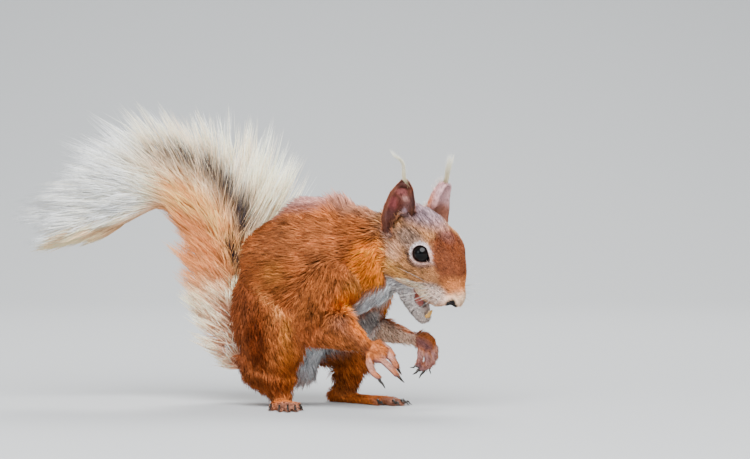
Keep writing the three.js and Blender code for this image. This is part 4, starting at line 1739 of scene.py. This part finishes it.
    def patch(self, patch: CoatPatch) -> bpy.types.Object:
        """Grows the tufts of one patch.

        A tuft's path leaves its root at a slant and bends over: along the lie by its length times t,
        and away from the skin by its height times 1 less the square of 1 less t. Its tip is drawn
        towards the middle of its lock.

        Args:
            patch: The patch.

        Returns:
            The piece.
        """
        roots, pick = self.roots(patch)
        near = self.flesh.closeness(roots)
        normal = self.flesh.skin.normals(roots)
        lie = self.lie(roots, near)
        lie = unit(lie - dot(lie, normal) * normal)
        mixed = {k: sum(near[n] * getattr(lay, k) for n, lay in LAYS.items()) for k in ("length", "width")}
        head = near["head"] + near["lower_jaw"]
        thin = 1 + head * (np.clip(head_thinning(POSTURE.to_head(roots)), 0.35, 1.4) - 1)
        bold = np.where(self.rng.random(len(roots)) < 0.14, 1.5, 1.0)
        size = self.rng.uniform(0.65, 1.15, len(roots)) * thin
        length = mixed["length"] * size * (0.7 + 0.3 * bold)
        width = mixed["width"] * self.rng.uniform(0.7, 1.15, len(roots)) * bold * (0.5 + 0.5 * thin)
        depth = self.flesh.depth.at(roots)
        raised = near["neck"] * step_between(0.1, 0.7, normal[:, 2])
        height = np.maximum(depth * self.rng.uniform(0.55, 1.1, len(roots)), 0.18) * (1 + raised)
        pull, shade, off = self.strands(roots, lie, near)
        pull -= dot(pull, normal) * normal
        t = np.array([0, 0.5, 1.0])[None, :, None]
        bend = self.rng.normal(0, 0.12, (len(roots), 1)) * length[:, None] * np.cross(normal, lie)
        path = (roots[:, None] - self.bed * normal[:, None] + lie[:, None] * length[:, None, None] * t
                + normal[:, None] * (height[:, None, None] + self.bed) * (1 - (1 - t) ** 2)
                + (self.gather * pull + bend)[:, None] * t**1.6)
        tone = np.exp(self.rng.normal(0, 0.16 + 0.1 * head, len(roots)))
        # Random tone by lock, times a painted highlight down each lock's middle and painted shade towards
        # its edges, in the gaps between locks.
        tone = (0.66 + 0.64 * shade) * (1.18 - 0.65 * off**2) * tone
        tone = np.where(self.rng.random(len(roots)) < self.speckle(roots, near), tone * 0.42, tone)
        colour = self.markings.shade(roots, normal, near) * tone[:, None]
        # The root-to-tip factors paint shade at the roots and a highlight at the tips.
        piece = put_tufts(patch.name, path, width[:, None] * np.array([[1.0, 0.8]]), normal,
                          colour[:, None] * np.array(self.shades)[None, :, None],
                          self.unwrap(roots, pick, patch))
        return dress(piece, FUR_FINISH, patch.slot)

    def strands(self, roots: Array, lie: Array, near: dict[str, Array]) -> tuple[Array, Array, Array]:
        """Gathers tufts in locks that are long along the lie and narrow across it.

        The space round a form is squeezed along its mean lie, and a root takes the nearest lock.

        Args:
            roots: Points on the skin.
            lie: Direction of each tuft.
            near: Closeness to each form.

        Returns:
            The way across to the lock's middle line, its shade from 0 to 1, and the distance from its
            middle as a share of its spacing.
        """
        names = np.array(list(LAYS))[np.stack([near[n] for n in LAYS]).argmax(0)]
        pull, shade, off = np.zeros_like(roots), np.zeros(len(roots)), np.zeros(len(roots))
        for name, lay in LAYS.items():
            mine = names == name
            if not mine.any():
                continue
            axis = unit(lie[mine].mean(0))
            along = (roots[mine] @ axis)[:, None] * axis
            cell = 0.22 * lay.length + 0.15
            squeezed = (roots[mine] - (1 - self.stretch) * along) / cell
            middle, shade[mine] = CHAOS.locks(squeezed, 1.0)
            across = middle - squeezed
            off[mine] = np.clip(np.linalg.norm(across, axis=1), 0, 1)
            pull[mine] = (across - (across @ axis)[:, None] * axis) * cell
        return pull, shade, off

    @staticmethod
    def speckle(roots: Array, near: dict[str, Array]) -> Array:
        """Share of dark hairs: many on the temples and the brow, few elsewhere.

        Args:
            roots: Points on the skin.
            near: Closeness to each form.

        Returns:
            A share for each root.
        """
        local = POSTURE.to_head(roots)
        temple = near["head"] * step_between(-14, 2, local[:, 2]) * (1 - step_between(14, 20, local[:, 0]))
        return 0.05 + 0.2 * temple

    def unwrap(self, roots: Array, pick: Array, patch: CoatPatch) -> Array:
        """Map places of roots: the angle round each form's longest axis and the share along it.

        Args:
            roots: Points on the skin.
            pick: Triangle of each.
            patch: The patch, whose forms lie side by side on the map.

        Returns:
            Two numbers from 0 to 1 for each root.
        """
        place = np.zeros((len(roots), 2))
        for i, name in enumerate(patch.nodes):
            mine = self.region[pick] == name
            if not mine.any():
                continue
            off = roots[mine] - roots[mine].mean(0)
            axes = np.linalg.svd(off, full_matrices=False)[2]
            off = off @ axes.T
            angle = np.arctan2(off[:, 1], off[:, 2] + (6 if patch.side else 0))
            angle = (angle - angle.min()) / max(np.ptp(angle), 1e-6)
            along = (off[:, 0] - off[:, 0].min()) / max(np.ptp(off[:, 0]), 1e-6)
            place[mine] = np.column_stack([(i + 0.02 + 0.96 * angle) / len(patch.nodes), along])
        return place


# ---- tail hair
@dataclass
class TailHair:
    """The plume: long hairs in wisps, leaving the flesh of the tail and bending to its tip.

    The tables give a hair's full length in millimetres and its slant in degrees at four places from
    the tail's root to its tip, on the bend's outer side, its inner side and beside both.
    """

    flesh: Flesh
    markings: Markings
    rng: np.random.Generator
    wisps: int = 1050
    hairs: int = 16
    rings: int = 4
    outer: tuple[tuple[float, float], ...] = ((44, 66), (60, 52), (58, 42), (44, 16))
    inner: tuple[tuple[float, float], ...] = ((32, 66), (34, 50), (26, 10), (30, 8))
    beside: tuple[tuple[float, float], ...] = ((34, 38), (40, 30), (40, 24), (38, 12))
    spans: tuple[tuple[str, float, float], ...] = (
        ("coat_tail_base", 0.0, 0.38), ("coat_tail_middle", 0.38, 0.67), ("coat_tail_tip", 0.67, 1.01))
    kinds: tuple[float, float] = (0.42, 0.65)
    gather: float = 0.82

    def clear(self, points: Array) -> Array:
        """Distance outside the plume's own solid."""
        return np.stack([self.flesh.fields[n].at(points) for n in TAIL_NODES]).min(0)

    def room(self, start: Array, way: Array, limit: Array, slack: Array) -> Array:
        """Finds how long hairs may be.

        Args:
            start: Their roots.
            way: Their directions.
            limit: Their full lengths.
            slack: How far each may reach out of the plume's solid.

        Returns:
            The length of each, to where it leaves the solid by its slack or to its full length.
        """
        steps = np.arange(3.0, 63, 2.0)
        gaps = self.clear(start[:, None] + way[:, None] * steps[None, :, None])
        outside = gaps > slack[:, None]
        first = np.where(outside.any(1), outside.argmax(1), len(steps) - 1)
        return np.minimum(steps[first], limit)

    def strands(self, share: Array, angle: Array, size: Array, slack: Array) -> Array:
        """Paths of hairs.

        Length and slant go from outer to beside to inner with the cosine of the root's angle. A hair
        is a straight line with a bow of 0.07 of its length times the sine of pi t.

        Args:
            share: Root's share of the tail's length.
            angle: Root's angle round it, 0 on the outer side of the bend.
            size: Share of the full length.
            slack: How far it may reach out of the plume's solid.

        Returns:
            Points by hair and place along it.
        """
        along = TAIL.read(TAIL.along, share)
        outward = TAIL.read(TAIL.outward, share)
        out = unit(np.cos(angle)[:, None] * outward + np.sin(angle)[:, None] * np.array([0, 1.0, 0]))
        stations = np.linspace(0, 1, 4)
        tables = [np.array(table, float) for table in (self.outer, self.beside, self.inner)]
        full, slant = (np.stack([np.interp(share, stations, table[:, i]) for table in tables])
                       for i in range(2))
        lean = np.cos(angle)
        mix = np.stack([np.maximum(lean, 0), 1 - np.abs(lean), np.maximum(-lean, 0)])
        full, slant = (full * mix).sum(0), np.radians((slant * mix).sum(0))
        way = np.cos(slant)[:, None] * along + np.sin(slant)[:, None] * out
        start = TAIL.read(TAIL.line, share) + out * (TAIL.radius(share) * 0.8)[:, None]
        length = (self.room(start, way, full, slack) * size)[:, None, None]
        t = np.linspace(0, 1, self.rings + 1)[None, :, None]
        side = np.cos(slant)[:, None] * out - np.sin(slant)[:, None] * along
        return start[:, None] + length * (way[:, None] * t + 0.07 * side[:, None] * np.sin(np.pi * t))

    def build(self) -> list[bpy.types.Object]:
        """Grows the wisps, shortens what leaves the plume, and splits them by length of tail.

        Returns:
            The pieces.
        """
        guide_share = self.rng.uniform(0.02, 1.0, self.wisps)
        kind = self.rng.random(self.wisps)
        guide_angle = np.where(kind < self.kinds[0], self.rng.normal(0, 0.6, self.wisps),
                               np.where(kind < self.kinds[1], self.rng.normal(np.pi, 0.6, self.wisps),
                                        self.rng.uniform(-np.pi, np.pi, self.wisps)))
        slack = self.rng.uniform(0.3, 5.5, self.wisps)
        guide = self.strands(guide_share, guide_angle, self.rng.uniform(0.72, 1.06, self.wisps), slack)
        owner = np.repeat(np.arange(self.wisps), self.hairs)
        share = np.clip(guide_share[owner] + self.rng.normal(0, 0.015, len(owner)), 0.02, 1)
        angle = guide_angle[owner] + self.rng.normal(0, 0.35, len(owner))
        own = self.strands(share, angle, self.rng.uniform(0.5, 1.08, len(owner)), slack[owner])
        t = np.linspace(0, 1, self.rings + 1)[None, :, None]
        path = own + (guide[owner] - own) * self.gather * t**1.3
        path += self.rng.normal(0, 1.0, (len(owner), 1, 3)) * t**2
        path = self.shortened(path, slack[owner])
        up = unit(self.rng.normal(0, 1, (len(owner), 3)))
        width = self.rng.uniform(0.16, 0.32, len(owner))[:, None] * np.array([[1, 0.95, 0.75, 0.5]])
        tint = self.colours(path, owner)
        pieces = []
        for name, first, last in self.spans:
            mine = (share >= first) & (share < last)
            place = np.column_stack([(share[mine] - first) / (last - first),
                                     (angle[mine] / (2 * np.pi)) % 1])
            piece = put_tufts(name, path[mine], width[mine], up[mine], tint[mine], place, 0.8)
            pieces.append(dress(piece, TAIL_FINISH, "coat_tail"))
        return pieces

    def shortened(self, path: Array, slack: Array) -> Array:
        """Draws hairs back to the first place where they leave the plume's solid by too much.

        Args:
            path: Points by hair and place along it.
            slack: How far each may reach out of the solid.

        Returns:
            The paths with their points spaced anew.
        """
        fine = np.linspace(0, 1, 17)
        place = fine * self.rings
        low = np.minimum(place.astype(int), self.rings - 1)
        part = (place - low)[None, :, None]
        gaps = self.clear(path[:, low] * (1 - part) + path[:, low + 1] * part)
        stray = (gaps > slack[:, None] + self.rng.uniform(0, 1.5, (len(path), 1))) & (fine > 0.2)
        limit = np.where(stray.any(1), fine[stray.argmax(1)], 1.0)
        place = np.linspace(0, 1, self.rings + 1)[None] * limit[:, None] * self.rings
        low = np.minimum(place.astype(int), self.rings - 1)
        part = (place - low)[..., None]
        rows = np.arange(len(path))[:, None]
        return path[rows, low] * (1 - part) + path[rows, low + 1] * part

    def colours(self, path: Array, owner: Array) -> Array:
        """Colours the hairs by the tail's rule at each place along them.

        Args:
            path: Points by hair and place along it.
            owner: The wisp of each hair.

        Returns:
            Colours by hair and place along it.
        """
        count, places = path.shape[:2]
        mood = self.rng.normal(0, 0.5, self.wisps)[owner] + self.rng.normal(0, 0.2, count)
        tip = np.linspace(0, 1, places) * self.rng.uniform(0.85, 1.1, (count, 1))
        near, out = TAIL.nearest(path.reshape(-1, 3))
        colour = self.markings.tail(near, out, tip.ravel(), np.repeat(np.clip(mood, -1, 1), places))
        tone = self.rng.uniform(0.92, 1.28, (count, 1, 1)) * (1 + 0.16 * mood)[:, None, None]
        return colour.reshape(path.shape) * (tone * np.linspace(0.85, 1.2, places)[None, :, None])


# ---- small hard and wet parts
@dataclass
class Eyes:
    """Two wet globes, nearly black, with a faint brown iris."""

    rows: int = 40
    columns: int = 56
    black: str = "#040405"
    brown: str = "#0e0807"

    def build(self) -> None:
        """Makes both globes: points at the radius times sine and cosine of two angles."""
        for side, sign in zip(SIDES, (-1, 1)):
            low, high = (np.array(c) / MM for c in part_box(f"{side}_eye"))
            middle, radius = (low + high) / 2, float((high - low).mean() / 2)
            axis = POSTURE.head_vector(Head.eye_axis() * [1, sign, 1])
            aside = unit(np.cross(axis, UP))
            above = np.cross(aside, axis)
            polar = np.linspace(0, np.pi, self.rows)
            line = middle + axis * (np.cos(polar) * radius)[:, None]
            wide = np.sin(polar) * radius
            angle = np.linspace(0, 2 * np.pi, self.columns, endpoint=False)[None, :, None]
            round_it = np.cos(angle) * aside + np.sin(angle) * above
            ring = line[1:-1, None] + wide[1:-1, None, None] * round_it
            points = np.vstack([ring.reshape(-1, 3), line[:1], line[-1:]])
            off = np.arccos(np.clip((points - middle) @ axis / radius, -1, 1))
            iris = step_between(0.42, 0.5, off) * (1 - step_between(0.85, 0.95, off))
            globe = put_mesh(f"{side}_eyeball", points, ring_faces(self.rows - 2, self.columns),
                             between(self.black, self.brown, iris[:, None]))
            dress(globe, EYE_FINISH, "eye_gloss", f"{side}_eye")


@dataclass
class Claws:
    """Curved claws, deeper than wide, in the places of their CAD nodes."""

    stations: int = 10
    sides: int = 12
    root: str = "#5a463c"
    tip: str = "#17110e"

    def build(self) -> None:
        """Makes one piece for the claws of each paw."""
        for side in SIDES:
            for paw, word, count in (("hand", "finger", 4), ("foot", "toe", 5)):
                names = [f"{side}_{word}_claw_{i + 1}" for i in range(count)]
                parts = [self.claw(name, middle_of(f"{side}_{paw}")) for name in names]
                points, faces = combined([part[:2] for part in parts])
                tint = np.vstack([part[2] for part in parts])
                piece = put_mesh(f"{side}_{word}_claws", points, faces, tint)
                dress(piece, HORN_FINISH, "claw_horn", *names)

    def claw(self, name: str, rear: Array) -> tuple[Array, Array, Array]:
        """One claw: ellipses along the node's middle line that shrink as the square root of 1 less t.

        Args:
            name: The CAD node.
            rear: The middle of its paw.

        Returns:
            Points, faces and colours.
        """
        line, half = spine(name, rear, np.linspace(0, 1, 5))
        t = np.linspace(0, 1, self.stations)
        path = through(line, t)
        path[0] -= 0.8 * unit(path[1] - path[0])
        size = half[:2].max() * np.maximum(1 - t, 0.02) ** 0.55
        points, faces = sweep(path, size * 0.8, size * 1.15, UP, self.sides)
        share = np.concatenate([np.repeat(t, self.sides), [0, 1]])[:, None]
        return points, faces, between(self.root, self.tip, share)


@dataclass
class Mouth:
    """Teeth and tongue, along stations in the head's frame.

    A station is a place forward, left and up, a half width and a half depth.
    """

    upper: tuple = ((22.4, 0.78, -10.6, 0.85, 1.0), (22.2, 0.78, -14, 0.82, 0.9),
                    (21, 0.78, -17, 0.7, 0.35))
    lower: tuple = ((14.2, 0.68, -28.4, 0.7, 0.8), (16.6, 0.68, -26, 0.68, 0.8),
                    (17.4, 0.68, -22.4, 0.6, 0.3))
    tongue: tuple = ((0, 0, -17, 2.8, 1.5), (2, 0, -17.8, 2.8, 1.6), (7, 0, -21, 3, 1.3),
                     (11.5, 0, -24.2, 2.2, 0.9))

    def build(self) -> None:
        """Makes both pairs of incisors and the tongue."""
        for name, stations, node in (("upper_teeth", self.upper, "upper_incisors"),
                                     ("lower_teeth", self.lower, "lower_incisors")):
            points, faces = combined([self.along(stations, sign) for sign in (1, -1)])
            height = POSTURE.to_head(points)[:, 2]
            share = (height - height.min()) / np.ptp(height)
            tint = between("#e0b060", "#cf8a32", share[:, None])
            dress(put_mesh(name, points, faces, tint), ENAMEL_FINISH, "tooth_enamel", node)
        points, faces = self.along(self.tongue, 1)
        tint = np.tile(linear("#b5655c"), (len(points), 1))
        dress(put_mesh("soft_tongue", points, faces, tint), TONGUE_FINISH, "mouth_lining", "tongue")

    @staticmethod
    def along(stations: tuple, sign: int) -> tuple[Array, Array]:
        """Makes a form through stations, its ends rounded off.

        Args:
            stations: The stations.
            sign: 1 as they are stated, -1 for their mirror image.

        Returns:
            Points and triangles.
        """
        rows = np.array(stations, float) * [1, sign, 1, 1, 1]
        t = np.linspace(0, 1, 14)
        path = through(POSTURE.from_head(rows[:, :3]), t)
        size = np.sqrt(np.clip(1 - (2 * t - 1) ** 8, 0.01, 1))
        wide, deep = (through(rows[:, i:i + 1], t)[:, 0] * size for i in (3, 4))
        return sweep(path, wide, deep, POSTURE.head_vector([1, 0, 0.2]))


@dataclass
class FineHairs:
    """The long hairs of the head: a wispy tuft on each ear, a fringe on one, and the whiskers.

    The strands of a tuft lean across the ear, and the fringe points to the ear's rear.
    """

    rng: np.random.Generator
    tuft_hairs: int = 96
    leans: dict[str, tuple[float, ...]] = field(default_factory=lambda: {
        "right": (0.0, 0.0, 1.2), "left": (-3.4, -0.3, 3.6)})
    rear: tuple[float, float, float] = (-0.86, -0.5, 0.0)
    bands: tuple[float, ...] = (7, 10, 13, 16, 19, 21.5)
    fringe_hairs: int = 170
    rings: int = 5
    tint: tuple[str, str] = ("#c9b78c", "#f4f1dc")

    def build(self) -> None:
        """Makes both ear tufts, the fringe of the left ear and the whiskers."""
        for side in SIDES:
            self.ear_tuft(side)
        self.ear_fringe("left")
        self.whiskers()

    def strands(self, name: str, path: Array, width: Array, tint: Array, finish: Finish, slot: str,
                *nodes: str) -> None:
        """Puts in round hairs along paths, and maps each at its number's place.

        Args:
            name: Name of the piece.
            path: Points by hair and place along it.
            width: Half width, by hair and place but the last.
            tint: Linear colour by hair and place.
            finish: The finish.
            slot: The record's material slot.
            *nodes: The CAD nodes that they replace.
        """
        up = unit(self.rng.normal(0, 1, (len(path), 3)))
        number = np.arange(len(path))
        place = np.column_stack([number % 16 / 16, number // 16 / 16 % 1])
        dress(put_tufts(name, path, width, up, tint, place, 1.0), finish, slot, *nodes)

    def ear_tuft(self, side: str) -> None:
        """A tuft along its node's middle line: each hair keeps its offset, which shrinks to the tip.

        The hairs gather in a few strands, each with a lean of its own across the ear.

        Args:
            side: Right or left.
        """
        stations = np.linspace(0, 1, 6)
        line, half = spine(f"{side}_ear_tuft", middle_of(f"{side}_ear"), stations)
        count = self.tuft_hairs
        leans = np.array(self.leans[side])
        strand = self.rng.integers(0, len(leans), count)
        size = self.rng.uniform(0.3, 1.0, count) ** 0.8
        t = np.linspace(0, 1, self.rings + 1)
        shares = size[:, None] * t[None]
        path = through(line, shares)
        width = np.interp(shares, stations, half)
        off = unit(self.rng.normal(0, 1, (count, 1, 3))) * np.sqrt(self.rng.uniform(0, 1, (count, 1, 1)))
        path = path + off * (width * (0.8 - 0.6 * shares))[..., None]
        across = POSTURE.head_vector(Ears.axes(side)[:, 1])
        path = path + (leans[strand][:, None] * shares**1.3)[..., None] * across
        path[:, 0] -= 0.8 * Ears.upward(side)
        path += self.rng.normal(0, 0.45, (count, 1, 3)) * t[None, :, None] ** 2
        hair = self.rng.uniform(0.06, 0.11, (count, 1)) * (1 - 0.65 * t[None, :-1])
        tint = between(*self.tint, t[None, :, None]) * self.rng.uniform(0.85, 1.1, (count, 1, 1))
        self.strands(f"{side}_ear_hairs", path, hair, tint, TAIL_FINISH, "coat_tuft", f"{side}_ear_tuft")

    def ear_fringe(self, side: str) -> None:
        """Short pale hairs along the rear rim of an ear, out and up.

        The rim is the corner of the CAD node that stands farthest back in each of a few bands of
        height, and the hairs are spread evenly along the curve through those corners.

        Args:
            side: Right or left.
        """
        points, _ = corners(f"{side}_ear")
        local = Ears.local(side, POSTURE.to_head(points))
        back = np.array(self.rear)
        bands = [local[np.abs(local[:, 2] - height) < 1.6] for height in self.bands]
        rim = np.array([band[(band @ back).argmax()] for band in bands])
        count = self.fringe_hairs
        place = through(rim, self.rng.uniform(0, 1, count)) - 0.4 * back
        way = back + [0, 0, 0.9] + self.rng.normal(0, 0.3, (count, 3))
        t = np.linspace(0, 1, self.rings + 1)[None, :, None]
        length = self.rng.uniform(1.2, 3.4, (count, 1, 1))
        path = place[:, None] + length * (unit(way)[:, None] * t + np.array([0, 0, 0.25]) * t**2)
        path = POSTURE.from_head(np.array(Ears.at[side]) + path @ Ears.axes(side).T)
        hair = self.rng.uniform(0.05, 0.09, (count, 1)) * (1 - 0.65 * t[0, :-1, 0])[None]
        tint = linear("#e9dcd2") * self.rng.uniform(0.75, 1.1, (count, 1, 1)) + 0 * path
        self.strands(f"{side}_ear_fringe", path, hair, tint, TAIL_FINISH, "coat_tuft")

    def whiskers(self) -> None:
        """Whiskers from four rows of roots on each pad, out and back, or forward from the front ones."""
        paths = []
        for sign in (-1, 1):
            for row in range(4):
                for column in range(4):
                    root = np.array([17.5 + 2.6 * column, sign * (9.2 - 0.7 * column), -6.2 - 1.5 * row])
                    forward = -0.5 + 0.33 * column + self.rng.normal(0, 0.1)
                    way = unit(np.array([forward, sign * 0.8, 0.3 - 0.22 * row + self.rng.normal(0, 0.06)]))
                    length = 17 + 4 * self.rng.random() - 2.0 * column
                    t = np.linspace(0, 1, self.rings + 1)[:, None]
                    path = root + way * length * t + np.array([-2.5, 0, -1.8]) * t**2
                    path[0] -= way * 1.5
                    paths.append(POSTURE.from_head(path))
        path = np.array(paths)
        width = np.full((len(path), self.rings), 0.1) * (1 - 0.7 * np.linspace(0, 1, self.rings))
        t = np.linspace(0, 1, path.shape[1])[None, :, None] ** 0.6
        tint = between("#3a2c24", "#f4efe4", t) + 0 * path
        self.strands("whiskers", path, width, tint, WHISKER_FINISH, "coat_tuft")


# ---- stage
@dataclass
class Stage:
    """A pale floor that sweeps up behind, three soft lights and the camera.

    A lamp is a name, a place, a width in metres, a power in watts and a colour.
    """

    distance: float = 2.0
    lens: float = 206.4
    elevation: float = 2.0
    aim: tuple[float, float] = (25.6, 81.6)
    turn_at: float = 900.0
    radius: float = 700.0
    lamps: tuple = (("key", (0.06, -1.05, 1.15), 1.5, 76, (0.97, 0.98, 1)),
                    ("fill", (-1.1, -0.9, 0.5), 0.8, 6, (0.93, 0.97, 1)),
                    ("rim", (0.1, 0.9, 1.0), 0.7, 22, (1, 1, 1)))
    lit: tuple[float, float, float] = (0.02, 0.01, 0.07)

    def build(self) -> None:
        """Makes the floor, the lights and the camera."""
        self.floor()
        self.lights()
        self.camera()

    def floor(self) -> None:
        """A sheet: level, then a low curve up, the same all along its width."""
        bend = np.linspace(0, np.pi / 3, 18)
        depth = np.concatenate([[-3200, -600, 0], self.turn_at + self.radius * np.sin(bend)])
        height = np.concatenate([[0, 0, 0], self.radius * (1 - np.cos(bend))])
        across = np.linspace(-3000, 3000, 5)
        grid = np.stack(np.broadcast_arrays(across[None], depth[:, None], height[:, None]), -1)
        rows, columns = grid.shape[:2]
        a = (np.arange(rows - 1)[:, None] * columns + np.arange(columns - 1)).ravel()
        quads = np.stack([a, a + 1, a + 1 + columns, a + columns], -1)
        mesh = bpy.data.meshes.new("floor")
        mesh.from_pydata((grid.reshape(-1, 3) * MM).tolist(), [], quads.tolist())
        mesh.polygons.foreach_set("use_smooth", np.ones(len(quads), bool))
        sheet = placed("floor", mesh)
        paint = bpy.data.materials.new("floor_paint")
        paint.use_nodes = True
        filled(paint.node_tree.nodes["Principled BSDF"], {
            "Base Color": (0.43, 0.44, 0.44, 1), "Roughness": 0.9})
        mesh.materials.append(paint)

    def lights(self) -> None:
        """A key from above and before, a fill from the right and a rim from behind."""
        world = bpy.data.worlds.new("studio")
        bpy.context.scene.world = world
        world.use_nodes = True
        filled(world.node_tree.nodes["Background"], {"Color": (0.85, 0.9, 1.0, 1), "Strength": 0.33})
        for name, place, size, power, tint in self.lamps:
            lamp = bpy.data.lights.new(name, "AREA")
            lamp.shape = "DISK"
            lamp.energy, lamp.size, lamp.color = power, size, tint
            stand = placed(name, lamp)
            stand.location = place
            aim = np.array(self.lit) - place
            stand.rotation_euler = (math.atan2(np.hypot(aim[0], aim[1]), -aim[2]), 0,
                                    math.atan2(-aim[0], aim[1]))

    def camera(self) -> None:
        """A long lens level with the animal, a little above."""
        lens = bpy.data.cameras.new("camera")
        lens.lens, lens.sensor_width, lens.clip_end = self.lens, 36, 20
        stand = placed("camera", lens)
        tilt = math.radians(self.elevation)
        aim = (POSTURE.origin + [self.aim[0], 0, self.aim[1]]) * MM
        stand.location = aim + self.distance * np.array([0, -math.cos(tilt), math.sin(tilt)])
        stand.rotation_euler = (math.pi / 2 - tilt, 0, 0)
        bpy.context.scene.camera = stand


def main() -> None:
    """Builds the stage, the skin and everything that grows on it."""
    logging.basicConfig(level=logging.INFO, format="%(relativeCreated)d ms %(message)s")
    rng = np.random.default_rng(SEED)
    Stage().build()
    flesh = Flesh()
    flesh.solve()
    markings = Markings()
    skin = Skin(flesh, markings)
    skin.build()
    Coat(skin, flesh, markings, rng).build()
    TailHair(flesh, markings, rng).build()
    FineHairs(rng).build()
    Eyes().build()
    Claws().build()
    Mouth().build()


if __name__ == "__main__":
    main()
